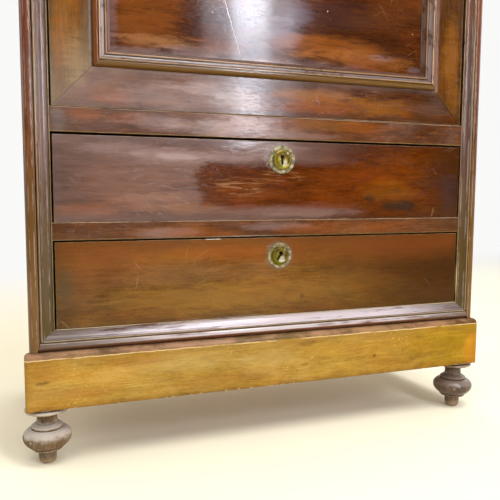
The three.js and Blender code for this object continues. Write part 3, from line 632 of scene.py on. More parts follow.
    # worn arrises, broken along their length, and grime in the hollows
    en = N.noise(N.vmath("MULTIPLY", g, (60.0, 200.0, 200.0)), 1.0, 4.0, 0.65)
    run = N.smooth(N.noise(N.vmath("MULTIPLY", g, (9.0, 16.0, 16.0)), 1.0, 4.0, 0.6), 0.38, 0.62)
    e = N.attribute("edge")
    em = N.smooth(N.math("ADD", e, N.math("MULTIPLY", N.math("SUBTRACT", en, 0.5), 1.0)), 0.72, 1.02)
    em = N.math("MULTIPLY", em, N.math("MULTIPLY_ADD", run, 0.32 * wear, 0.30 * wear), clamp=True)
    col = N.mix(em, col, worn)
    q = N.attribute("grime")
    qm = N.math("MULTIPLY", N.smooth(N.math("ADD", q, N.math("MULTIPLY", N.math("SUBTRACT", en, 0.5), 0.9)), 0.25, 0.95), 0.85)
    col = N.mix(qm, col, grime)
    rough = N.math("MULTIPLY_ADD", em, 0.18, rough)
    rough = N.math("MULTIPLY_ADD", qm, 0.3, rough, clamp=True)
    if tint:
        col = N.mix(1.0, col, tint, "MULTIPLY")
    h = N.math("MULTIPLY_ADD", fine, 0.55, N.math("MULTIPLY", hair, 0.35))
    h = N.math("MULTIPLY_ADD", speck, 0.45, h)
    h = N.math("MULTIPLY_ADD", pores, -0.8, h)
    if sc is not None:
        h = N.math("MULTIPLY_ADD", sc, -1.2, h)
    if hooks["height"] is not None:
        h = N.math("ADD", h, hooks["height"])
    slow = N.noise(N.vmath("MULTIPLY", g, (13.0, 30.0, 30.0)), 1.0, 3.0 if wave > 0.4 else 0.5)
    nrm = N.bump(slow, wave, 0.0010)
    nrm = N.bump(h, bump, 0.00035, nrm)
    b = N.bsdf
    N.put(b.inputs["Base Color"], col)
    N.put(b.inputs["Roughness"], rough)
    N.put(b.inputs["Normal"], nrm)
    N.put(b.inputs["Coat Weight"], coat)
    b.inputs["Coat Roughness"].default_value = coat_rough
    b.inputs["Coat IOR"].default_value = 1.5
    N.put(b.inputs["Coat Normal"], nrm)
    b.inputs["Specular IOR Level"].default_value = 0.0
    return mat


def metal(name, base, tarnish, dirt, rough=0.34, wear=0.6, residue=None, scale=1.0):
    mat = bpy.data.materials.new(name)
    N = Net(mat)
    n1 = N.noise(N.coord, 95.0 * scale, 5.0, 0.65, 0.4)
    n2 = N.noise(N.coord, 420.0 * scale, 3.0, 0.6)
    n3 = N.noise(N.coord, 1500.0 * scale, 2.0, 0.6)
    col = N.mix(N.smooth(n1, 0.36, 0.66), base, tarnish)
    col = N.mix(N.math("MULTIPLY", N.smooth(n2, 0.52, 0.72), 0.55), col, dirt)
    e = N.attribute("edge")
    em = N.math("MULTIPLY", N.smooth(N.math("ADD", e, N.math("MULTIPLY", n2, 0.6)), 0.7, 1.2), wear)
    col = N.mix(em, col, (0.92, 0.84, 0.58, 1))
    q = N.attribute("grime")
    qm = N.math("MULTIPLY", N.smooth(N.math("ADD", q, N.math("MULTIPLY", n2, 0.5)), 0.45, 1.1), 0.9)
    col = N.mix(qm, col, dirt)
    r = N.span(n1, 0.3, 0.7, rough - 0.1, rough + 0.14)
    r = N.math("MULTIPLY_ADD", qm, 0.35, r)
    r = N.math("MULTIPLY_ADD", em, -0.08, r, clamp=True)
    metallic = N.math("SUBTRACT", 1.0, N.math("MULTIPLY", qm, 0.7), clamp=True)
    if residue:
        col, r, metallic = residue(N, col, r, metallic)
    b = N.bsdf
    N.put(b.inputs["Base Color"], col)
    N.put(b.inputs["Roughness"], r)
    N.put(b.inputs["Metallic"], metallic)
    hgt = N.math("MULTIPLY_ADD", n2, 0.7, N.math("MULTIPLY", n3, 0.3))
    N.put(b.inputs["Normal"], N.bump(hgt, 0.25, 0.0003))
    return mat


def local_x(N):
    return N.xyz(N.coord)[0]


def local_z(N):
    return N.xyz(N.coord)[2]


# -------------------------------------------------------------- frame mouldings
FRAME_FACE = [
    [0, 0.6], [1.6, 0.6], [2.2, -0.8], [5, -1.3], [8.5, -0.9], [12, 0.6], [15, 2.8], [17.4, 5.2], [18.6, 5.4],
    [19.0, 6.3], [21.2, 6.3], [21.6, 4.2], [23.2, 4.2], [23.7, 5.6], [25.5, 6.3], [28.5, 6.5], [32, 6.2],
    [35, 4.8], [37.2, 2.6], [38.5, 0], [39, -3],
]
FRAME_PROFILE = [[s, -h] for s, h in FRAME_FACE] + [[39, STILE_BACK], [0, STILE_BACK]]
BASE_K = (Z_BASE - (PLINTH_TOP + GAP)) / STILE_W

MAT = {}


def corner_line(side, d, outer):
    """Outline that takes away one side of the line where a stile meets the base: mitred as far as the hollow goes, then steep."""
    pts = [(OPEN_HALF - 12 + d, Z_BASE + 12 * BASE_K), (OPEN_HALF + 21.6 + d, Z_BASE - 21.6 * BASE_K),
           (OPEN_HALF + 27.5 + d, PLINTH_TOP), (OPEN_HALF + 29 + d, PLINTH_TOP - 20)]
    far = OPEN_HALF + 70 if outer else OPEN_HALF - 60
    pts += [(far, PLINTH_TOP - 20), (far, Z_BASE + 12 * BASE_K)]
    return tool_prism([(side * x, z) for x, z in pts], -30, 60, 1)


def stile_marks(side):
    """The wide hollow is greyed with painted reflection, most of all high up on the left; pale painted highlight lines
    run in the hollow and on the outer band; a pale line along the fillet; the outer band is browner near the floor.
    """
    def hook(h):
        N = h["N"]
        x, z = local_x(N), local_z(N)
        s = N.math("SUBTRACT", N.math("MULTIPLY", x, float(side)), OPEN_HALF / 1000)
        hollow = bell(N, s, 0.0105, 0.0070, 0.002)
        n = N.noise(N.vmath("MULTIPLY", N.coord, (60.0, 60.0, 9.0)), 1.0, 4.0, 0.65)
        up = N.smooth(N.math("ADD", z, N.math("MULTIPLY", N.math("SUBTRACT", h["cloud"], 0.5), 0.3)), 0.22, 0.60)
        dirt = N.smooth(N.math("ADD", n, N.math("MULTIPLY", N.smooth(z, 0.9, 0.19), 0.14)), 0.52, 0.72)
        h["col"] = N.mix(N.math("MULTIPLY", dirt, 0.5), h["col"], srgb(56, 42, 18))
        low = N.math("MULTIPLY", N.math("SUBTRACT", 1.0, N.smooth(z, 0.25, 0.55)), N.smooth(s, 0.021, 0.019))
        h["col"] = N.mix(N.math("MULTIPLY", low, 0.78), h["col"], srgb(76, 62, 24))
        band = N.smooth(s, 0.0225, 0.0245)
        h["col"] = N.mix(N.math("MULTIPLY", N.math("MULTIPLY", band, N.smooth(N.math("ADD", z, N.math("MULTIPLY", N.math("SUBTRACT", h["cloud"], 0.5), 0.4)), 0.66, 0.24)), 0.72), h["col"], srgb(112, 76, 22))
        h["col"] = N.mix(N.math("MULTIPLY", N.math("MULTIPLY", band, N.smooth(z, 0.45, 0.75)), 0.5), h["col"], srgb(116, 60, 42))
        # painted reflection: lilac-grey in the wide hollow, stronger high up and on the left stile
        painted_grey_reflection = N.math("MULTIPLY", hollow, N.math("MULTIPLY_ADD", up, 0.26 if side < 0 else 0.08, 0.0))
        h["col"] = N.mix(N.math("MULTIPLY", painted_grey_reflection, N.smooth(n, 0.30, 0.60)), h["col"], srgb(158, 144, 148))
        # lines along the hollow: the two pale ones are painted highlight, the middle one is dark
        for c, k, w in ((0.0062, 0.35, 0.0006), (0.0125, 0.30, 0.0008), (0.0158, 0.30, 0.0005)):
            fibre = N.math("MULTIPLY", bell(N, s, c, w, 0.0008), N.smooth(N.noise(N.vmath("MULTIPLY", N.coord, (90.0, 90.0, 13.0)), 1.0, 4.0, 0.7), 0.45, 0.60))
            h["col"] = N.mix(N.math("MULTIPLY", fibre, k), h["col"], srgb(190, 176, 166) if c != 0.0125 else srgb(96, 44, 36))
        line = N.math("MULTIPLY", bell(N, s, 0.0190, 0.0003, 0.0006), N.smooth(n, 0.34, 0.52))
        h["col"] = N.mix(N.math("MULTIPLY", line, 0.32), h["col"], srgb(190, 160, 116))
        # pale lines on the outer band are painted highlight
        for c, k in ((0.0268, 0.4), (0.0335, 0.3)):
            fibre = N.math("MULTIPLY", bell(N, s, c, 0.0004, 0.0009), N.smooth(N.noise(N.vmath("MULTIPLY", N.coord, (80.0, 80.0, 17.0)), 1.0, 4.0, 0.7), 0.46, 0.60))
            h["col"] = N.mix(N.math("MULTIPLY", fibre, k), h["col"], srgb(186, 152, 138))
        # more of the bloom-and-sheen veil in the hollow, higher up
        h["haze"] = N.math("MULTIPLY_ADD", N.math("MULTIPLY", hollow, up), 0.08, h["haze"], clamp=True)
        h["coat"] = N.math("MULTIPLY", N.math("MULTIPLY_ADD", low, -0.45, 1.0), 0.8 if side < 0 else 0.6)
        if side > 0:
            patch(h, 0.3832, 0.266, 0.0020, 0.030, 0.9, srgb(216, 178, 116), 0.4)
    return hook


for side in (-1, 1):
    n = "left" if side < 0 else "right"
    ob = sweep(
        "front_stile_" + n, FRAME_PROFILE,
        lambda s, y: (side * (OPEN_HALF + s), y, PLINTH_TOP + GAP),
        lambda s, y: (side * (OPEN_HALF + s), y, Z_TOP + s - GAP / 2), step=9.0, radius=0.35)
    chips = []
    for s, h in ((0.4, -0.6), (19.2, -6.2), (21.1, -6.2), (23.6, -5.6)):
        row(chips, 11 + int(s) + side, 16, (side * (OPEN_HALF + s), h, 230), (side * (OPEN_HALF + s), h, 1820), (1.5, 4.5), (0.15, 0.5))
    weather(ob, 0.12, 120, 3 + side, chips)
    cut(ob, corner_line(side, GAP / 2, False))
    if side < 0:
        cut(ob, tool_box((-396, 10.5, 1192), (-381, 19.5, 1222)))
    place(ob, "stile_" + n, "carcass", "mahogany",
          wood("moulded_stile_" + n, "dark", "Z", (0.3 + side, 0.1, 0.2), gloss=0.32, coat=0.8 if side < 0 else 0.6, coat_rough=0.18, haze=0.08, extra=stile_marks(side), scratches=0, wear=0.6,
               haze_color=srgb(132, 116, 104), streak=0.8))

base = sweep(
    "base_rail_moulding", FRAME_PROFILE,
    lambda s, y: (-(OPEN_HALF + 45), y, Z_BASE - s * BASE_K),
    lambda s, y: (OPEN_HALF + 45, y, Z_BASE - s * BASE_K), step=6.0, radius=0.35)
chips = []
for s, h in ((0.4, -0.6), (19.2, -6.2), (21.1, -6.2), (23.6, -5.6)):
    row(chips, 40 + int(s), 22, (-(OPEN_HALF + s), h, Z_BASE - s * BASE_K), (OPEN_HALF + s, h, Z_BASE - s * BASE_K), (1.5, 4), (0.15, 0.5))
weather(base, 0.14, 110, 5, chips)
cut(base, corner_line(-1, -GAP / 2, True), corner_line(1, -GAP / 2, True))


def base_marks(h):
    """Pale lilac painted highlight on the hollow and roll in the middle, dark olive towards both ends, pale lines along
    the arrises, a dark line in the quirk.
    """
    N = h["N"]
    x, z = local_x(N), local_z(N)
    s = N.math("DIVIDE", N.math("SUBTRACT", Z_BASE / 1000, z), BASE_K)
    n = N.noise(N.vmath("MULTIPLY", N.coord, (9.0, 40.0, 90.0)), 1.0, 4.0, 0.65)
    ends = N.smooth(N.math("ADD", N.math("ABSOLUTE", N.math("SUBTRACT", x, 0.02)), N.math("MULTIPLY", N.math("SUBTRACT", n, 0.5), 0.2)), 0.20, 0.41)
    hollow = bell(N, s, 0.0100, 0.0075, 0.0015)
    roll = bell(N, s, 0.0270, 0.0030, 0.0020)
    # painted highlight on the hollow and roll, strongest in the middle and fading towards the ends
    pale = N.math("MULTIPLY", N.math("MAXIMUM", hollow, roll), N.math("MULTIPLY_ADD", ends, -0.54, 0.78))
    h["col"] = N.mix(N.math("MULTIPLY", pale, N.smooth(n, 0.28, 0.50)), h["col"], srgb(206, 194, 198))
    low = N.math("MULTIPLY", N.smooth(s, 0.029, 0.033), 0.55)
    h["col"] = N.mix(low, h["col"], srgb(120, 72, 44))
    h["col"] = N.mix(N.math("MULTIPLY", ends, 0.56), h["col"], srgb(60, 54, 38))
    for c, k in ((0.0012, 0.65), (0.0192, 0.30), (0.0240, 0.30)):
        line = N.math("MULTIPLY", bell(N, s, c, 0.0003, 0.0006), N.smooth(N.math("ADD", n, 0.04), 0.34, 0.50))
        h["col"] = N.mix(N.math("MULTIPLY", line, k), h["col"], srgb(220, 194, 150))


place(base, "base_moulding", "carcass", "mahogany",
      wood("moulded_base", "mahogany", "X", (0.1, 0.4, 0.3), gloss=0.28, coat=1.0, haze=0.06, wear=0.5, extra=base_marks, scratches=0, streak=0.7))

top = sweep(
    "top_rail_moulding", FRAME_PROFILE,
    lambda s, y: (-(OPEN_HALF + s) + GAP / 2, y, Z_TOP + s + GAP / 2),
    lambda s, y: (OPEN_HALF + s - GAP / 2, y, Z_TOP + s + GAP / 2), step=9.0)
weather(top, 0.12, 110, 6)
cut(top, tool_box((PIVOT_X - 20, PIVOT_Y - 6, Z_TOP - 1), (PIVOT_X + 16, PIVOT_Y + 6, Z_TOP + 3.6)))
place(top, "top_moulding", "carcass", "mahogany",
      wood("moulded_top", "dark", "X", (0.7, 0.4, 0.3), gloss=0.34, coat=0.5))

# ----------------------------------------------------------------- cornice
CORNICE_FACE = [
    [3, 0], [3, 5], [1.5, 6], [1.5, 8], [4.6, 10], [5.6, 13], [4.6, 16], [3, 17.6], [3, 20],
    [3.6, 27], [6.4, 34.5], [12.2, 41], [20.5, 46], [28.4, 50.4], [34, 56], [36.4, 61.5],
    [36.8, 64], [40, 64], [40, 67], [42.4, 67.6], [44.4, 70], [45, 73.5],
    [44.2, 77], [42, 79.3], [39.5, 80],
]
CORNICE_PROFILE = CORNICE_FACE + [[-24, 80], [-24, 0]]
ZC, YF = Z_CARC + GAP, -6.5
MAT["cornice_x"] = wood("cornice_wood", "cornice", "X", (0.2, 0.9, 0.1), gloss=0.34, coat=0.45)
MAT["cornice_y"] = wood("cornice_wood_side", "cornice", "Y", (0.5, 0.2, 0.1), gloss=0.36, coat=0.4)
ob = sweep("cornice_length_front", CORNICE_PROFILE,
           lambda o, u: (-(BODY_HALF + o) + GAP / 2, YF - o, ZC + u),
           lambda o, u: (BODY_HALF + o - GAP / 2, YF - o, ZC + u), step=9.0, straight=9.0)
chips = row([], 70, 30, (-460, YF - 44.5, ZC + 71), (460, YF - 44.5, ZC + 71), (2, 7), (0.2, 0.8))
weather(ob, 0.15, 120, 8, chips)
place(ob, "cornice_front", "carcass", "mahogany", MAT["cornice_x"])
for side in (-1, 1):
    n = "left" if side < 0 else "right"
    ob = sweep("cornice_length_" + n, CORNICE_PROFILE,
               lambda o, u: (side * (BODY_HALF + o), YF - o + GAP / 2, ZC + u),
               lambda o, u: (side * (BODY_HALF + o), DEPTH, ZC + u), step=9.0, straight=9.0)
    weather(ob, 0.15, 120, 9 + side)
    place(ob, "cornice_" + n, "carcass", "mahogany", MAT["cornice_y"])

# -------------------------------------------------------------- carcass sides
BOARDS = [(192, 208), (548, 566), (980, 998), (1395, 1413), (1840, 1858)]
for side in (-1, 1):
    n = "left" if side < 0 else "right"
    xa, xb = sorted((side * INNER_HALF, side * BODY_HALF))

    def uneven(v, side=side):
        out = v.copy()
        face = np.abs(v[:, 0] - side * BODY_HALF) < 0.01
        for i in np.nonzero(face)[0]:
            out[i, 0] -= side * 0.35 * (0.5 + 0.5 * noise.noise(Vector((v[i, 1] / 160, v[i, 2] / 210, 3 + side))))
        return out

    ob = slab("carcass_side_" + n, (xa, STILE_BACK + GAP, PLINTH_TOP + GAP), (xb, DEPTH, Z_CARC - GAP), 0.7, (8, 14, 16), uneven)
    tools = []
    for i, (z0, z1) in enumerate(BOARDS):
        y0 = 60 if i == 1 else 44 if i in (2, 3) else STILE_BACK - 0.7
        x0, x1 = sorted((side * 400.0, side * (INNER_HALF + 6)))
        tools.append(tool_box((x0, y0, z0 - GAP), (x1, 412.6, z1 + GAP)))
    cut(ob, *tools)
    place(ob, "side_panel_" + n, "carcass", "mahogany",
          wood("side_veneer_" + n, "mahogany", "Z", (0.6 * side, 0.3, 0.5), gloss=0.4, coat=0.35, haze=0.1, figure=0.4))

# ------------------------------------------------------------------ back panel
# upright boards side by side, with open joints worked as narrow grooves
def back_boards():
    x0, x1, y0, y1, z0, z1 = -400.7, 400.7, 412.3, 424.0, PLINTH_TOP + GAP, Z_CARC - GAP
    edges = [-400.7, -262.0, -128.0, 22.0, 154.0, 281.0, 400.7]
    prof = []
    for i, (a, b) in enumerate(zip(edges, edges[1:])):
        off = (0.0, 0.5, 0.1, 0.6, 0.2, 0.4)[i]
        l, r = (a if i == 0 else a + 0.9), (b if i == 5 else b - 0.9)
        if i:
            prof.append([a, y1 - 2.6])
        prof += [[l, y1 - off - 0.9 * (i > 0)], [l + 1.2, y1 - off], [r - 1.2, y1 - off], [r, y1 - off - 0.9 * (i < 5)]]
    prof = [q for q in prof] + [[x1, y0], [x0, y0]]
    ob = sweep("back_of_boards", prof, lambda x, y: (x, y, z0), lambda x, y: (x, y, z1), step=24.0, corner=20, radius=0.3, straight=14.0)
    weather(ob, 0.25, 140, 12)
    return ob


def board_tones(h):
    """Each board is a little lighter or darker than the next; knots, and old damp along the lower end."""
    N = h["N"]
    x, z = local_x(N), local_z(N)
    shade = 1.0
    for at, change in ((-0.262, -0.13), (-0.128, 0.09), (0.022, -0.06), (0.154, 0.14), (0.281, -0.17)):
        shade = N.math("MULTIPLY_ADD", N.math("GREATER_THAN", x, at), change, shade)
    h["col"] = N.vmath("MULTIPLY", h["col"], shade)
    for cx, cz, rx, rz in ((-0.33, 1.52, 0.010, 0.014), (-0.19, 0.74, 0.008, 0.012), (-0.06, 1.21, 0.012, 0.017), (0.09, 0.46, 0.009, 0.013),
                           (0.22, 1.63, 0.011, 0.015), (0.34, 0.98, 0.009, 0.012), (-0.30, 0.42, 0.007, 0.010)):
        dx = N.math("DIVIDE", N.math("SUBTRACT", x, cx), rx)
        dz = N.math("DIVIDE", N.math("SUBTRACT", z, cz), rz)
        d = N.math("MULTIPLY_ADD", dx, dx, N.math("MULTIPLY", dz, dz))
        d = N.math("MULTIPLY_ADD", N.math("SUBTRACT", h["blotch"], 0.5), 1.2, d)
        h["col"] = N.mix(N.math("MULTIPLY", N.math("SUBTRACT", 1.0, N.smooth(d, 1.2, 4.5)), 0.45), h["col"], srgb(122, 78, 40))
        h["col"] = N.mix(N.math("MULTIPLY", N.math("SUBTRACT", 1.0, N.smooth(d, 0.5, 1.3)), 0.8), h["col"], srgb(70, 42, 22))
    damp = N.smooth(N.math("MULTIPLY_ADD", N.math("SUBTRACT", h["cloud"], 0.5), 0.25, z), 0.34, 0.18)
    h["col"] = N.mix(N.math("MULTIPLY", damp, 0.45), h["col"], srgb(92, 74, 54))


place(back_boards(), "back_panel", "carcass", "secondary_wood",
      wood("back_board_wood", "pine", "Z", (0.9, 0.2, 0.4), gloss=0.62, coat=0.0, haze=0.14, bump=0.6, wear=0.5,
           haze_color=(0.22, 0.17, 0.12, 1), streak=1.35, mottle=0.4, hues=0.2, extra=board_tones))

# ----------------------------------------------------------------- front rails
def rail(name, node, z0, z1, seed, material, tools):
    def shape(v):
        out = v.copy()
        wide = np.abs(v[:, 0]) > 381.71
        out[wide, 1] = np.maximum(out[wide, 1], 26.0)
        face = (~wide) & (v[:, 1] < 0.01)
        for i in np.nonzero(face)[0]:
            out[i, 1] += 0.28 * (0.5 + 0.5 * noise.noise(Vector((v[i, 0] / 130, v[i, 2] / 45, seed))))
        return out

    ob = slab(name, (-400.7, 0, z0), (400.7, 60, z1), 0.8, (9, 9, 7), shape, 2.0,
              extra=((-381.72, -381.7, -380.8, -379.5, 379.5, 380.8, 381.7, 381.72), (26.0,), ()))
    bm = bmesh.new()
    bm.from_mesh(ob.data)
    bmesh.ops.remove_doubles(bm, verts=bm.verts, dist=0.000004)
    bmesh.ops.dissolve_degenerate(bm, edges=bm.edges, dist=0.000004)
    bm.to_mesh(ob.data)
    bm.free()
    cut(ob, *tools)
    return place(ob, node, "carcass", "mahogany", material)


def rail_marks(z0, z1, spots):
    """Darkened ends, patches in the polish with the lilac and pale ones painted sheen, an olive line along the lower
    edge and a pale one along the upper.
    """
    def hook(h):
        N = h["N"]
        x, z = local_x(N), local_z(N)
        r = rim(N, x, z, -0.382, 0.382, z0 / 1000, z1 / 1000, 0.006, z0 / 100)
        ends = N.smooth(N.math("ADD", N.math("ABSOLUTE", x), N.math("MULTIPLY", N.math("SUBTRACT", h["cloud"], 0.5), 0.25)), 0.28, 0.385)
        h["col"] = N.mix(N.math("MULTIPLY", N.math("MAXIMUM", N.math("MULTIPLY", r, 0.4), ends), 0.38), h["col"], srgb(50, 31, 15))
        # patches in the polish; the lilac and pale ones are painted sheen
        for spot in spots:
            patch(h, *spot)
        n = N.smooth(N.noise(N.vmath("MULTIPLY", N.coord, (12.0, 12.0, 30.0)), 1.0, 4.0, 0.65), 0.34, 0.50)
        olive = bell(N, z, z0 / 1000 + 0.0007, 0.0006, 0.0006)
        h["col"] = N.mix(N.math("MULTIPLY", olive, 0.7), h["col"], srgb(108, 80, 24))
        top = N.math("MULTIPLY", bell(N, z, z1 / 1000 - 0.0003, 0.0003, 0.0004), n)
        h["col"] = N.mix(N.math("MULTIPLY", top, 0.5), h["col"], srgb(196, 170, 134))
    return hook


rail("rail_over_lower_drawer", "rail_between_drawers", Z_MID, Z_UP, 21,
     wood("rail_wood_middle", "rail", "X", (0.35, 0.7, 0.2), gloss=0.3, coat=0.55, coat_rough=0.12, haze=0.1, wear=1.0, scratches=0.25, face=8.0, extra=rail_marks(Z_MID, Z_UP, (
         (-0.33, 0.369, 0.030, 0.010, 0.4, srgb(84, 52, 34)), (-0.20, 0.369, 0.050, 0.008, 0.4, PAINTED_LILAC_SHEEN), (-0.14, 0.367, 0.060, 0.010, 0.45, ORANGE),
         (-0.01, 0.378, 0.070, 0.007, 0.4, PAINTED_LILAC_SHEEN), (0.07, 0.372, 0.060, 0.010, 0.5, ORANGE), (0.20, 0.370, 0.060, 0.010, 0.45, ORANGE)))),
     [tool_box((-16, 9.5, Z_MID - 1), (16, 18.5, Z_MID + 10))])
rail("rail_below_door", "rail_under_door", Z_RAIL, Z_DOOR, 27,
     wood("rail_wood_door", "rail", "X", (0.85, 0.1, 0.6), gloss=0.28, coat=0.50, coat_rough=0.12, haze=0.12, wear=0.9, scratches=0.25, face=8.0, extra=rail_marks(Z_RAIL, Z_DOOR, (
         (-0.37, 0.545, 0.010, 0.022, 0.5, srgb(110, 98, 92)), (-0.329, 0.556, 0.026, 0.008, 0.55, ORANGE), (-0.268, 0.552, 0.028, 0.009, 0.55, ORANGE),
         (-0.20, 0.548, 0.080, 0.012, 0.42, PAINTED_LILAC_SHEEN), (-0.10, 0.546, 0.090, 0.014, 0.35, PAINTED_PALE_SHEEN), (0.08, 0.556, 0.070, 0.010, 0.45, AMBER),
         (0.02, 0.536, 0.080, 0.006, 0.35, PAINTED_LILAC_SHEEN), (0.17, 0.554, 0.060, 0.009, 0.35, ORANGE))),
          haze_color=srgb(150, 128, 118)),
     [tool_box((-16, 9.5, Z_RAIL - 1), (16, 18.5, Z_RAIL + 10)),
      tool_box((PIVOT_X - 20, PIVOT_Y - 6, Z_DOOR - 3.6), (PIVOT_X + 16, PIVOT_Y + 6, Z_DOOR + 1))])

# ---------------------------------------------------------------------- plinth
def arc(a, b, r, t0, t1, n):
    return [[a + r * math.cos(math.radians(t0 + (t1 - t0) * i / n)), b + r * math.sin(math.radians(t0 + (t1 - t0) * i / n))] for i in range(n + 1)]


front_profile = [[7, 94], [-12.8, 94], [-13.7, 94.5], [-14, 95.3]] + arc(-6, 177, 8, 180, 90, 10) + [[7, 185]]


def plinth_board():
    """Front board of the plinth: rounded along its top, at its ends and at its upright corners."""
    ds = [0, 0.2, 0.6, 1.2, 2.0, 3.0, 4.0, 5.0, 6.4, 8.0, 10.0]
    xs = [-429 + d for d in ds] + list(np.linspace(-415, 415, 209)) + [429 - d for d in reversed(ds)]
    pts, edge, grime = refine(front_profile, corner=50, straight=6.0, radius=0.4)
    verts, e = [], []
    for x in xs:
        d = 429 - abs(x)
        iy = 5 - math.sqrt(max(0, 25 - (5 - d) ** 2)) if d < 5 else 0
        iz = 8 - math.sqrt(max(0, 64 - (8 - d) ** 2)) if d < 8 else 0
        for (y, z), w in zip(pts, edge):
            ky, kz = (7 - y) / 21, max(0.0, (z - 160) / 25)
            verts.append((x, y + iy * ky, z - iz * kz))
            e.append(max(w, 0.7 if d < 0.7 else 0.0))
    m, k = len(xs), len(pts)
    faces = [(s * k + i, s * k + (i + 1) % k, (s + 1) * k + (i + 1) % k, (s + 1) * k + i) for s in range(m - 1) for i in range(k)]
    for ring in (0, m - 1):
        b0 = np.arange(ring * k, ring * k + k)
        c = np.array([verts[i] for i in b0])
        mid = c.mean(0)
        start = len(verts)
        verts += [tuple(v) for v in c + (mid - c) / np.linalg.norm(mid - c, axis=1)[:, None] * 1.5]
        e += [0.0] * k
        faces += [(int(b0[i]), int(b0[(i + 1) % k]), start + (i + 1) % k, start + i) for i in range(k)]
        faces.append(tuple(range(start, start + k)))
    ob = new_mesh("plinth_board_front", verts, faces, e)
    chips = row([], 90, 70, (-425, -14, 94), (425, -14, 94), (1.2, 4.0), (0.25, 1.0))
    row(chips, 91, 18, (-260, -14, 94), (60, -14, 94), (2, 5.0), (0.6, 1.6))
    weather(ob, 0.3, 130, 14, chips)
    return ob


ob = plinth_board()


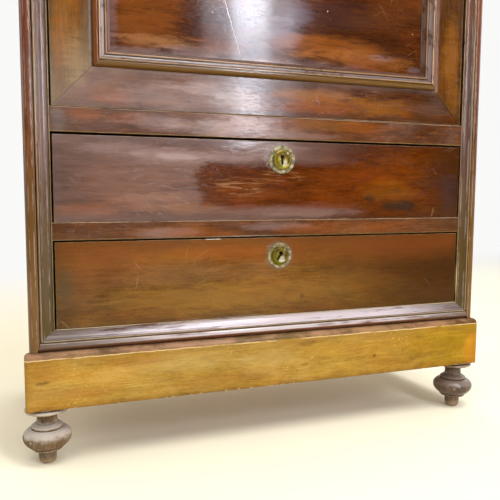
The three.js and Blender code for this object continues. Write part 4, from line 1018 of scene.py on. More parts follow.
def plinth_marks(h):
    """Dark knots, small holes and a greyer foxed run along the top."""
    N = h["N"]
    x, z = local_x(N), local_z(N)
    for cx, cz, rx, rz, k in ((-0.405, 0.139, 0.010, 0.0026, 0.55), (-0.397, 0.1405, 0.005, 0.002, 0.5), (0.05, 0.166, 0.020, 0.007, 0.35),
                              (0.045, 0.128, 0.010, 0.003, 0.35), (0.19, 0.13, 0.004, 0.003, 0.6), (-0.13, 0.15, 0.008, 0.003, 0.3)):
        dx = N.math("DIVIDE", N.math("SUBTRACT", x, cx), rx)
        dz = N.math("DIVIDE", N.math("SUBTRACT", z, cz), rz)
        d = N.math("ADD", N.math("MULTIPLY", dx, dx), N.math("MULTIPLY", dz, dz))
        d = N.math("ADD", d, N.math("MULTIPLY", N.math("SUBTRACT", h["fine"], 0.5), 1.4))
        h["col"] = N.mix(N.math("MULTIPLY", N.math("SUBTRACT", 1.0, N.smooth(d, 0.3, 1.3)), k), h["col"], srgb(60, 44, 26))
    specks = N.smooth(N.noise(N.vmath("MULTIPLY", N.coord, (260.0, 260.0, 420.0)), 1.0, 1.0), 0.74, 0.79)
    h["col"] = N.mix(N.math("MULTIPLY", specks, 0.55), h["col"], srgb(84, 58, 30))
    rub = N.smooth(N.noise(N.vmath("MULTIPLY", N.coord, (7.0, 7.0, 16.0)), 1.0, 4.0, 0.65), 0.52, 0.72)
    h["col"] = N.mix(N.math("MULTIPLY", rub, 0.3), h["col"], srgb(206, 170, 104))
    fibre = N.noise(N.vmath("MULTIPLY", N.coord, (16.0, 16.0, 620.0)), 1.0, 3.0, 0.6)
    h["col"] = N.mix(N.math("MULTIPLY", N.smooth(fibre, 0.56, 0.72), 0.28), h["col"], srgb(206, 172, 92))
    h["col"] = N.mix(N.math("MULTIPLY", N.smooth(fibre, 0.44, 0.30), 0.25), h["col"], srgb(118, 84, 30))
    for spot in ((-0.18, 0.150, 0.10, 0.016, 0.40, srgb(190, 164, 100)), (-0.02, 0.145, 0.06, 0.012, 0.40, srgb(192, 164, 102)), (-0.35, 0.116, 0.06, 0.010, 0.50, srgb(152, 96, 40)),
                 (-0.395, 0.150, 0.020, 0.016, 0.45, srgb(156, 104, 44)), (-0.30, 0.140, 0.030, 0.014, 0.35, srgb(204, 168, 92)), (-0.10, 0.116, 0.10, 0.008, 0.45, srgb(156, 106, 44)),
                 (0.10, 0.150, 0.07, 0.014, 0.30, srgb(186, 140, 38)), (0.26, 0.145, 0.06, 0.016, 0.35, srgb(160, 108, 24)), (0.36, 0.135, 0.05, 0.016, 0.35, srgb(134, 96, 30)),
                 (-0.25, 0.160, 0.05, 0.008, 0.50, srgb(142, 90, 40)), (0.20, 0.118, 0.05, 0.010, 0.40, srgb(150, 106, 40)), (0.02, 0.168, 0.05, 0.005, 0.40, srgb(140, 96, 40))):
        patch(h, *spot)
    # darker and more olive towards the right, an orange rub at the right end
    away = N.smooth(N.math("ADD", x, N.math("MULTIPLY", N.math("SUBTRACT", h["cloud"], 0.5), 0.5)), 0.05, 0.42)
    h["col"] = N.mix(N.math("MULTIPLY", away, 0.85), h["col"], N.mix(1.0, h["col"], (0.84, 0.80, 0.16, 1), "MULTIPLY"))
    h["coat"] = N.span(away, 0.0, 1.0, 0.25, 0.08)
    h["haze"] = N.math("MULTIPLY", h["haze"], N.math("MULTIPLY_ADD", away, -0.7, 1.0))
    end = N.math("MULTIPLY", N.smooth(N.math("ADD", x, N.math("MULTIPLY", N.math("SUBTRACT", h["blotch"], 0.5), 0.04)), 0.395, 0.408), N.smooth(z, 0.165, 0.150))
    h["col"] = N.mix(N.math("MULTIPLY", end, 0.5), h["col"], srgb(196, 124, 30))
    # browner along the rim, dull dark streaks under the top, pale flecks where it was knocked
    rr = rim(N, x, z, -0.429, 0.429, 0.094, 0.176, 0.016, 3.3)
    h["col"] = N.mix(N.math("MULTIPLY", rr, 0.36), h["col"], srgb(128, 86, 28))
    under = N.math("MULTIPLY", N.smooth(z, 0.150, 0.170), N.smooth(N.noise(N.vmath("MULTIPLY", N.coord, (11.0, 11.0, 110.0)), 1.0, 5.0, 0.7), 0.48, 0.66))
    h["col"] = N.mix(N.math("MULTIPLY", under, 0.42), h["col"], srgb(122, 92, 34))
    dull = N.smooth(N.noise(N.vmath("MULTIPLY", N.coord, (9.0, 9.0, 44.0)), 1.0, 6.0, 0.72, 0.4), 0.54, 0.68)
    h["col"] = N.mix(N.math("MULTIPLY", dull, 0.34), h["col"], srgb(150, 98, 44))
    pale = N.math("MULTIPLY", N.smooth(N.noise(N.vmath("MULTIPLY", N.coord, (150.0, 150.0, 330.0)), 1.0, 3.0, 0.7), 0.60, 0.68), N.smooth(N.noise(N.coord, 13.0, 3.0), 0.52, 0.66))
    h["col"] = N.mix(N.math("MULTIPLY", pale, 0.55), h["col"], srgb(228, 194, 112))
    # grime along the lower edge
    low = N.smooth(N.math("ADD", z, N.math("MULTIPLY", N.math("SUBTRACT", h["blotch"], 0.5), 0.03)), 0.103, 0.093)
    h["col"] = N.mix(N.math("MULTIPLY", low, 0.45), h["col"], srgb(96, 70, 26))
    # the rounded top edge is stained dark like the frame above it, with a pale rubbed line where the stain ends
    zz = N.math("ADD", z, N.math("MULTIPLY", N.math("SUBTRACT", N.noise(N.coord, 60.0, 3.0), 0.5), 0.003))
    line = N.math("MULTIPLY", bell(N, zz, 0.1756, 0.0004, 0.0008), N.smooth(N.noise(N.vmath("MULTIPLY", N.coord, (14.0, 14.0, 30.0)), 1.0, 4.0, 0.7), 0.36, 0.54))
    h["col"] = N.mix(N.math("MULTIPLY", line, 0.7), h["col"], srgb(232, 206, 160))
    stain = N.mix(N.smooth(N.noise(N.vmath("MULTIPLY", N.coord, (17.0, 17.0, 60.0)), 1.0, 5.0, 0.7), 0.36, 0.62), srgb(70, 46, 34), srgb(146, 108, 84))
    h["col"] = N.mix(N.math("MULTIPLY", N.smooth(zz, 0.1762, 0.1776), 0.85), h["col"], stain)


place(ob, "plinth_front", "carcass", "plinth_wood",
      wood("plinth_wood_front", "plinth", "X", (0.15, 0.3, 0.8), gloss=0.42, coat=0.25, coat_rough=0.22, figure=0.6, haze=0.1,
           haze_color=srgb(205, 176, 110), extra=plinth_marks, bump=0.45, streak=0.75, mottle=0.8, hues=0.5, wear=0.9, scratches=0.2))

for side in (-1, 1):
    n = "left" if side < 0 else "right"
    xa, xb = sorted((side * 408.0, side * 421.0))
    ob = slab("plinth_board_" + n, (xa, 7.3, 94), (xb, 432, 185), 0.8, (6, 9, 8))
    chips = row([], 95 + side, 26, (side * 421, 12, 94), (side * 421, 428, 94), (1.5, 4), (0.3, 1.0))
    weather(ob, 0.25, 120, 17 + side, chips)
    place(ob, "plinth_side_" + n, "carcass", "plinth_wood",
          wood("plinth_wood_" + n, "plinth", "Y", (0.3, 0.5 * side, 0.1), gloss=0.44, coat=0.2, coat_rough=0.25, figure=0.5, haze=0.1,
               haze_color=srgb(205, 176, 110), bump=0.45, streak=0.8, hues=0.6, tint=(0.9, 0.86, 0.8, 1)))

# ------------------------------------------------------------------------ feet
FOOT = [
    [0, 0], [8.8, 0], [11.4, 1.6], [13.2, 4.8], [14, 9.5], [14.2, 20],
    [15.6, 20.8], [15.6, 22.2], [22, 22.4], [25.2, 24.6], [24.8, 26.8],
    [29.6, 29.6], [34.2, 34], [37.3, 39.4], [38.2, 44.2], [37.4, 49],
    [34.4, 53.2], [30, 56.4], [24.4, 58],
    [25.2, 60], [25, 61.8], [22.6, 63.6], [17.4, 66.8], [16.2, 71], [16.2, 78],
    [18.4, 83], [28, 85.4], [34, 86.6], [35, 88.2], [34, 90.2], [29, 91.6],
    [28.6, 93.7], [9, 93.7], [9, 126], [0, 126],
]
PALETTES["foot_dusty"] = (srgb(52, 40, 28), srgb(104, 84, 62), srgb(150, 130, 108), srgb(206, 190, 166), srgb(28, 21, 15))
PALETTES["foot_dark"] = (srgb(42, 29, 20), srgb(92, 68, 50), srgb(134, 104, 80), srgb(170, 142, 112), srgb(20, 14, 10))


def dust_and_top_light(amount, tone):
    """Pale dust and painted top light on the surfaces that face up, and a rubbed tip."""
    def hook(h):
        N = h["N"]
        nz = N.xyz(N.node("ShaderNodeNewGeometry").outputs["Normal"])[2]
        d = N.noise(N.vmath("MULTIPLY", N.coord, (60.0, 60.0, 90.0)), 1.0, 5.0, 0.65)
        # up-facing surfaces made paler: dust and painted top light
        up = N.smooth(N.math("ADD", nz, N.math("MULTIPLY", N.math("SUBTRACT", d, 0.5), 1.9)), -0.1, 0.7)
        h["col"] = N.mix(N.math("MULTIPLY", up, amount), h["col"], tone)
        h["rough"] = N.math("MULTIPLY_ADD", up, 0.25 * amount, h["rough"])
        z = local_z(N)
        tip = N.smooth(N.math("ADD", z, N.math("MULTIPLY", N.math("SUBTRACT", d, 0.5), 0.012)), 0.016, 0.002)
        h["col"] = N.mix(N.math("MULTIPLY", tip, 0.7), h["col"], srgb(170, 146, 112))
        h["rough"] = N.math("MULTIPLY_ADD", tip, 0.2, h["rough"])
    return hook


for n, x, y, pal, coat_w, gl, am in (
    ("front_left", -397, 18, "foot_dusty", 0.2, 0.5, 0.72), ("front_right", 397, 18, "foot_dark", 0.9, 0.25, 0.2),
    ("back_left", -386, 393, "foot_dusty", 0.12, 0.52, 0.5), ("back_right", 386, 393, "foot_dark", 0.5, 0.34, 0.3),
):
    ob = turned("turned_foot_" + n, FOOT, (x, y), 96, False, 0.006, 60 + int(x) + int(y))
    rng = random.Random(int(x + y))
    chips = []
    for _ in range(16):
        t = rng.random() * 6.283
        R, z = rng.choice(((38.2, 44.2), (35, 88.2), (25.2, 24.6), (25.2, 60), (12, 2.5), (34, 86.6)))
        chips.append((x + R * math.cos(t), y + R * math.sin(t), z, 1.5 + 3.5 * rng.random(), 0.2 + 0.9 * rng.random() ** 2))
    weather(ob, 0.18, 26, 30 + int(x), chips)
    place(ob, "foot_" + n, "carcass", "foot_wood",
          wood("foot_wood_" + n, pal, "Z", (0.2 + x / 1000, 0.3, 0.1), gloss=gl, coat=coat_w, coat_rough=0.16, haze=0.12, streak=0.7,
               extra=dust_and_top_light(am, srgb(192, 182, 170)), scratches=0.3, bump=0.5, hues=0.5))

# ------------------------------------------------------------------------ door
def door_marks(h):
    """Dark rim round the door, grime and a pale rub beside the panel moulding, dull mitres at the corners."""
    N = h["N"]
    x, z = local_x(N), local_z(N)
    r = rim(N, x, z, DOOR_L / 1000, DOOR_R / 1000, DOOR_B / 1000, DOOR_T / 1000, 0.012, 1.7)
    h["col"] = N.mix(N.math("MULTIPLY", r, 0.45), h["col"], srgb(44, 31, 16))
    a = N.math("MINIMUM", N.math("SUBTRACT", x, DOOR_L / 1000), N.math("SUBTRACT", DOOR_R / 1000, x))
    b = N.math("MINIMUM", N.math("SUBTRACT", z, DOOR_B / 1000), N.math("SUBTRACT", DOOR_T / 1000, z))
    d = N.math("MINIMUM", a, b)
    near = N.smooth(N.math("ADD", d, N.math("MULTIPLY", N.math("SUBTRACT", h["blotch"], 0.5), 0.02)), 0.050, 0.062)
    h["haze"] = N.math("MULTIPLY_ADD", near, 0.22, h["haze"], clamp=True)
    # left member greyer near its lower corner, bloom and painted sheen
    corner = N.math("MULTIPLY", N.smooth(N.math("ADD", z, N.math("MULTIPLY", N.math("SUBTRACT", h["cloud"], 0.5), 0.2)), 0.72, 0.60), N.smooth(x, -0.20, -0.34))
    h["haze"] = N.math("MULTIPLY_ADD", corner, 0.18, h["haze"], clamp=True)
    # patches in the polish of the bottom member, the lilac and pale ones painted sheen, and a dark and a pale run
    # beside the panel moulding on the left one
    for spot in ((-0.287, 0.587, 0.034, 0.014, 0.5, ORANGE), (-0.20, 0.590, 0.075, 0.020, 0.40, PAINTED_LILAC_SHEEN), (-0.12, 0.606, 0.060, 0.012, 0.35, PAINTED_PALE_SHEEN),
                 (-0.075, 0.588, 0.045, 0.014, 0.45, PAINTED_PALE_SHEEN), (0.06, 0.603, 0.080, 0.014, 0.60, srgb(156, 98, 44)), (0.10, 0.588, 0.090, 0.012, 0.55, ORANGE),
                 (0.20, 0.592, 0.070, 0.016, 0.50, AMBER), (0.308, 0.590, 0.040, 0.026, 0.55, srgb(62, 44, 28)),
                 (-0.352, 0.720, 0.020, 0.060, 0.45, AMBER), (-0.366, 0.660, 0.012, 0.040, 0.40, ORANGE), (-0.340, 0.640, 0.018, 0.035, 0.30, srgb(176, 146, 100)),
                 (0.352, 0.700, 0.016, 0.060, 0.45, srgb(146, 92, 26)), (0.362, 0.62, 0.014, 0.030, 0.4, srgb(140, 88, 26))):
        patch(h, *spot)
    beside = bell(N, x, (DOOR_L + 54) / 1000, 0.004, 0.009)
    high = N.smooth(z, 0.63, 0.66)
    h["col"] = N.mix(N.math("MULTIPLY", N.math("MULTIPLY", beside, high), 0.45), h["col"], srgb(82, 52, 34))
    above = N.smooth(z, (DOOR_B + 58) / 1000, (DOOR_B + 62) / 1000)
    beside = N.math("MULTIPLY", bell(N, x, (DOOR_L + 60.6) / 1000, 0.0012, 0.0018), N.math("MULTIPLY", above, N.smooth(h["blotch"], 0.30, 0.55)))
    h["col"] = N.mix(N.math("MULTIPLY", beside, 0.5), h["col"], srgb(160, 148, 152))
    beside = N.math("MULTIPLY", bell(N, x, (DOOR_R - 60) / 1000, 0.002, 0.006), N.math("MULTIPLY", above, N.smooth(h["blotch"], 0.25, 0.60)))
    h["col"] = N.mix(N.math("MULTIPLY", beside, 0.5), h["col"], srgb(142, 126, 124))
    # greyed, rubbed joints at the mitres
    for side, at in ((1, DOOR_L), (-1, DOOR_R)):
        u = N.math("MULTIPLY", N.math("SUBTRACT", x, at / 1000), float(side))
        v = N.math("SUBTRACT", z, DOOR_B / 1000)
        mitre = N.math("ABSOLUTE", N.math("ADD", N.math("SUBTRACT", u, v), N.math("MULTIPLY", N.math("SUBTRACT", h["blotch"], 0.5), 0.012)))
        mitre = N.math("MULTIPLY", N.math("SUBTRACT", 1.0, N.smooth(mitre, 0.0005, 0.0055)), N.smooth(u, 0.066, 0.060))
        h["col"] = N.mix(N.math("MULTIPLY", mitre, 0.45), h["col"], srgb(96, 78, 60) if side > 0 else srgb(58, 40, 24))


DOOR_PROFILE = [[0, 0], [76, 0], [76, 4.7], [64.5, 4.7], [64.5, 15.3], [76, 15.3], [76, 22], [0, 22]]
G2 = GAP / 2
pin_low = tool_prism(circle(PIVOT_X, PIVOT_Y, 4.6), DOOR_B - 1, DOOR_B + 15, 2)
pin_high = tool_prism(circle(PIVOT_X, PIVOT_Y, 4.6), DOOR_T - 15, DOOR_T + 1, 2)
ob = sweep("door_frame_left", DOOR_PROFILE, lambda s, y: (DOOR_L + s, y, DOOR_B + s + G2), lambda s, y: (DOOR_L + s, y, DOOR_T - s - G2),
           step=9.0, straight=9.0, radius=0.7)
weather(ob, 0.22, 120, 31)
cut(ob, tool_box((DOOR_L - 1, 8, 1150), (DOOR_L + 62, 23, 1230)), tool_prism(keyhole(-350, 1180), -1, 9, 1))
place(ob, "door_stile_left", "door", "mahogany",
      wood("door_wood_left", "olive", "Z", (0.55, 0.2, 0.7), gloss=0.32, coat=0.45, haze=0.14, figure=0.3, extra=door_marks, face=3.0, hues=0.9, wear=0.6,
           haze_color=srgb(150, 132, 104)))
ob = sweep("door_frame_right", DOOR_PROFILE, lambda s, y: (DOOR_R - s, y, DOOR_B + s + G2), lambda s, y: (DOOR_R - s, y, DOOR_T - s - G2),
           step=9.0, straight=9.0, radius=0.7)
weather(ob, 0.22, 120, 33)
cut(ob, pin_low, pin_high)
place(ob, "door_stile_right", "door", "mahogany",
      wood("door_wood_right", "honey", "Z", (0.15, 0.6, 0.4), gloss=0.3, coat=0.36, haze=0.04, figure=0.3, extra=door_marks, face=3.0))
ob = sweep("door_frame_bottom", DOOR_PROFILE, lambda s, y: (DOOR_L + s + G2, y, DOOR_B + s), lambda s, y: (DOOR_R - s - G2, y, DOOR_B + s),
           step=9.0, straight=9.0, radius=0.7)
weather(ob, 0.22, 120, 35)
cut(ob, pin_low)
place(ob, "door_rail_bottom", "door", "mahogany",
      wood("door_wood_bottom", "mahogany", "X", (0.75, 0.5, 0.1), gloss=0.28, coat=0.58, coat_rough=0.12, haze=0.12, figure=0.3, extra=door_marks, face=3.0, wear=0.8, scratches=0.3, bump=0.16,
           haze_color=srgb(150, 128, 118)))
ob = sweep("door_frame_top", DOOR_PROFILE, lambda s, y: (DOOR_L + s + G2, y, DOOR_T - s), lambda s, y: (DOOR_R - s - G2, y, DOOR_T - s),
           step=9.0, straight=9.0, radius=0.7)
weather(ob, 0.22, 120, 37)
cut(ob, pin_high)
place(ob, "door_rail_top", "door", "mahogany",
      wood("door_wood_top", "mahogany", "X", (0.25, 0.8, 0.5), gloss=0.3, coat=0.5, haze=0.1, figure=0.3, extra=door_marks, face=3.0))


def panel_warp(v):
    out = v.copy()
    for i in np.nonzero(v[:, 1] < 5.01)[0]:
        out[i, 1] += 0.55 * (0.5 + 0.5 * noise.noise(Vector((v[i, 0] / 210, v[i, 2] / 190, 1.5)))) + 0.18 * (0.5 + 0.5 * noise.noise(Vector((v[i, 0] / 60, v[i, 2] / 45, 4.5))))
    for i in np.nonzero(v[:, 1] > 14.99)[0]:
        out[i, 1] -= 0.3 * (0.5 + 0.5 * noise.noise(Vector((v[i, 0] / 150, v[i, 2] / 200, 8.5))))
    return out


ob = slab("panel_board", (-313.5, 5, 632.3), (311.5, 15, 1758), 0.6, (10, 6, 10), panel_warp)


def panel_marks(h):
    """A long curved scratch, pale flecks, a darker grey cloud towards the right, and patches in the polish, the lilac
    and grey ones painted sheen.
    """
    N = h["N"]
    x, z = local_x(N), local_z(N)
    wob = N.math("MULTIPLY", N.math("SUBTRACT", N.noise(N.coord, 22.0, 2.0), 0.5), 0.005)
    f = N.math("ADD", N.math("MULTIPLY", N.math("SUBTRACT", z, 0.70), -0.309), wob)
    off = N.math("SUBTRACT", x, N.math("ADD", f, -0.0835))
    span = N.math("MULTIPLY", N.smooth(z, 0.655, 0.672), N.smooth(z, 0.80, 0.785))
    weak = N.math("MULTIPLY_ADD", N.smooth(N.noise(N.coord, 60.0, 2.0), 0.36, 0.52), 0.6, 0.4)
    on = N.math("MULTIPLY", N.math("MULTIPLY", N.math("SUBTRACT", 1.0, N.smooth(N.math("ABSOLUTE", off), 0.0002, 0.0008)), span), weak)
    h["col"] = N.mix(N.math("MULTIPLY", on, 0.75), h["col"], srgb(224, 212, 206))
    beside = N.math("MULTIPLY", N.math("SUBTRACT", 1.0, N.smooth(N.math("ABSOLUTE", N.math("SUBTRACT", off, 0.0011)), 0.0003, 0.0010)), span)
    h["col"] = N.mix(N.math("MULTIPLY", beside, 0.5), h["col"], srgb(62, 44, 46))
    h["height"] = N.math("MULTIPLY", on, -2.0)
    r = rim(N, x, z, -0.299, 0.297, 0.647, 1.743, 0.03, 2.3)
    h["col"] = N.mix(N.math("MULTIPLY", r, 0.5), h["col"], srgb(48, 26, 14))
    cl = N.noise(N.vmath("MULTIPLY", N.coord, (6.0, 6.0, 11.0)), 1.0, 5.0, 0.62, 0.7)
    h["col"] = N.mix(N.math("MULTIPLY", N.smooth(cl, 0.50, 0.64), 0.45), h["col"], srgb(50, 25, 10))
    h["col"] = N.mix(N.math("MULTIPLY", N.smooth(cl, 0.48, 0.36), 0.4), h["col"], srgb(106, 53, 10))
    # patches in the polish; the lilac and grey ones are painted sheen
    for spot in ((-0.235, 0.715, 0.060, 0.050, 0.55, srgb(138, 78, 30)), (-0.209, 0.677, 0.065, 0.009, 0.55, srgb(164, 116, 74)), (-0.245, 0.656, 0.070, 0.008, 0.50, PAINTED_LILAC_SHEEN),
                 (-0.150, 0.664, 0.060, 0.010, 0.45, PAINTED_LILAC_SHEEN), (-0.287, 0.720, 0.010, 0.070, 0.45, srgb(122, 102, 106)), (-0.110, 0.676, 0.040, 0.012, 0.45, srgb(136, 80, 46)),
                 (-0.05, 0.655, 0.080, 0.006, 0.40, PAINTED_PALE_SHEEN), (0.006, 0.708, 0.030, 0.026, 0.40, srgb(150, 142, 160)), (0.03, 0.745, 0.030, 0.020, 0.35, srgb(140, 130, 146)),
                 (0.120, 0.752, 0.060, 0.024, 0.55, srgb(50, 34, 38)), (0.090, 0.692, 0.105, 0.018, 0.60, srgb(156, 88, 30)), (0.150, 0.675, 0.110, 0.014, 0.58, srgb(156, 98, 50)), (0.235, 0.775, 0.060, 0.022, 0.40, srgb(122, 66, 30)),
                 (0.200, 0.682, 0.024, 0.006, 0.34, srgb(156, 126, 122)), (0.275, 0.664, 0.016, 0.006, 0.32, srgb(138, 128, 134)), (0.06, 0.660, 0.090, 0.008, 0.30, PAINTED_LILAC_SHEEN),
                 (0.165, 0.668, 0.050, 0.010, 0.35, srgb(110, 50, 26)), (0.20, 0.745, 0.090, 0.050, 0.40, srgb(50, 24, 8))):
        patch(h, *spot)
    fade = N.math("ADD", z, N.math("MULTIPLY", N.math("SUBTRACT", h["cloud"], 0.5), 0.05))
    h["coat"] = N.span(N.smooth(fade, 0.665, 0.735), 0.0, 1.0, 0.46, 0.80)
    flecks = N.smooth(N.noise(N.coord, 120.0, 1.0), 0.78, 0.81)
    h["col"] = N.mix(N.math("MULTIPLY", flecks, 0.7), h["col"], srgb(214, 190, 160))


place(ob, "door_panel", "door", "panel_veneer",
      wood("panel_veneer", "panel", "X", (0.45, 0.15, 0.25), gloss=0.26, coat=0.8, coat_rough=0.09, figure=1.0, haze=0.05,
           extra=panel_marks, face=8.0, wave=0.16, bump=0.05, streak=1.3, mottle=1.15, scratches=0.3))

BOLECTION = [
    [0, GAP], [0, 1.8], [0.8, 4.6], [2.3, 7.6], [4.6, 9.7], [7, 10.5], [8.8, 10], [9.3, 8.6], [10, 8.6], [10.2, 11], [12, 11],
    [12.6, 9.3], [14, 6.8], [16, 5.1], [18.2, 4.2], [18.6, 3.2], [19.3, 3.2], [20, 4.5], [21.4, 5], [22.8, 4.3], [23.5, 3],
    [26, 0], [28, -2.9], [28.8, -4], [28.8, -4.7], [14.3, -4.7], [14.3, 0.3],
]
M = 62.0


def bolection_marks(member):
    """Golden roll at the outside, a pale fillet line that is painted highlight, a hollow greyed with painted
    reflection, a dark line in the quirk; the left member has the most painted reflection.
    """
    def hook(h):
        N = h["N"]
        x, z = local_x(N), local_z(N)
        a = N.math("MINIMUM", N.math("SUBTRACT", x, (DOOR_L + M) / 1000), N.math("SUBTRACT", (DOOR_R - M) / 1000, x))
        b = N.math("MINIMUM", N.math("SUBTRACT", z, (DOOR_B + M) / 1000), N.math("SUBTRACT", (DOOR_T - M) / 1000, z))
        t = N.math("MINIMUM", a, b)
        n = N.noise(N.vmath("MULTIPLY", N.coord, (30.0, 60.0, 30.0)), 1.0, 4.0, 0.65)
        ok = N.smooth(n, 0.30, 0.50)
        across = member in ("bottom", "top")
        roll = bell(N, t, 0.0062, 0.0054, 0.0008) if across else bell(N, t, 0.0046, 0.0036, 0.0010)
        h["col"] = N.mix(N.math("MULTIPLY", roll, 0.82), h["col"], srgb(98, 64, 3) if across else srgb(112, 62, 28))
        h["col"] = N.mix(N.math("MULTIPLY", N.smooth(t, 0.0014, 0.0002), 0.6), h["col"], srgb(46, 36, 10))
        # pale line on the fillet: painted highlight
        h["col"] = N.mix(N.math("MULTIPLY", N.math("MULTIPLY", bell(N, t, 0.0124 if across else 0.0112, 0.0004 if across else 0.0007, 0.0006), ok), 0.6), h["col"], srgb(204, 168, 138))
        # painted reflection: lilac-grey in the hollow and beyond it, strongest on the left member
        painted_grey_reflection = {"left": 0.45, "bottom": 0.16, "right": 0.22, "top": 0.16}[member]
        h["col"] = N.mix(N.math("MULTIPLY", N.math("MULTIPLY", bell(N, t, 0.0158, 0.0026, 0.0012), ok), painted_grey_reflection), h["col"], srgb(196, 186, 190))
        h["col"] = N.mix(N.math("MULTIPLY", N.math("MULTIPLY", bell(N, t, 0.0214, 0.0010, 0.0010), ok), 0.4), h["col"], srgb(176, 134, 104))
        h["col"] = N.mix(N.math("MULTIPLY", N.math("MULTIPLY", N.smooth(t, 0.0232, 0.0250), ok), painted_grey_reflection * 0.7), h["col"], srgb(160, 148, 152))
        h["col"] = N.mix(N.math("MULTIPLY", bell(N, t, 0.0189, 0.0004, 0.0004), 0.7), h["col"], srgb(52, 34, 22))
    return hook


for n, a, b, ax in (
    ("left", lambda t, h: (DOOR_L + M + t, -h, DOOR_B + M + t + G2), lambda t, h: (DOOR_L + M + t, -h, DOOR_T - M - t - G2), "Z"),
    ("right", lambda t, h: (DOOR_R - M - t, -h, DOOR_B + M + t + G2), lambda t, h: (DOOR_R - M - t, -h, DOOR_T - M - t - G2), "Z"),
    ("bottom", lambda t, h: (DOOR_L + M + t + G2, -h, DOOR_B + M + t), lambda t, h: (DOOR_R - M - t - G2, -h, DOOR_B + M + t), "X"),
    ("top", lambda t, h: (DOOR_L + M + t + G2, -h, DOOR_T - M - t), lambda t, h: (DOOR_R - M - t - G2, -h, DOOR_T - M - t), "X"),
):
    ob = sweep("panel_moulding_" + n, BOLECTION, a, b, step=8.0, radius=0.3)
    weather(ob, 0.1, 70, 50 + len(n))
    place(ob, "door_moulding_" + n, "door", "mahogany",
          wood("panel_moulding_wood_" + n, "honey", ax, (0.1 * len(n), 0.3, 0.2), gloss=0.26, coat=0.9, coat_rough=0.14, haze=0.05,
               wear=0.35, scratches=0, extra=bolection_marks(n), streak=0.7))

# --------------------------------------------------------------- drawer fronts
def drawer_front(which, z, height, key, tilt, seed, marks, palette, off):
    z0 = z + 0.6
    z1 = z0 + height
    s0 = z + 1

    def warp(v):
        out = v.copy()
        for i in np.nonzero(v[:, 1] < 0.01)[0]:
            out[i, 1] += 0.4 * (0.5 + 0.5 * noise.noise(Vector((v[i, 0] / 170, v[i, 2] / 95, seed)))) \
                + 0.12 * (0.5 + 0.5 * noise.noise(Vector((v[i, 0] / 55, v[i, 2] / 28, seed + 3))))
        return out

    ob = slab("drawer_%s_facing" % which, (-379, 0, z0), (379, 20, z1), 0.8, (8, 8, 7), warp, 2.2)
    xi = 367.0
    tools = []
    for zc in (36, 68, 100):
        c = s0 + zc
        pts = [(6.7, c - 9.8), (6.7, c + 9.8), (22, c + 6.8), (22, c - 6.8)]
        tools.append(tool_prism(pts, xi - GAP, 381, 0))
        tools.append(tool_prism(pts, -381, -(xi - GAP), 0))
    b0 = s0 + 10
    tools.append(tool_box((-(xi + 5.8), 14, b0 - GAP), (xi + 5.8, 21, b0 + 7 + GAP)))
    tools.append(tool_box((-32, 8, z1 - 50), (32, 21, z1 + 1)))
    tools.append(tool_prism(keyhole(*key), -1, 9, 1))
    cut(ob, *tools)
    return place(ob, "drawer_%s_front" % which, "drawer_" + which, "mahogany",
                 wood("drawer_wood_" + which, palette, "X", off, gloss=0.28, coat=0.7 if which == "upper" else 0.4, coat_rough=0.09, haze=0.03, figure=0.5,
                      extra=marks, face=8.0, scratches=0.3, wear=1.0, bump=0.2))


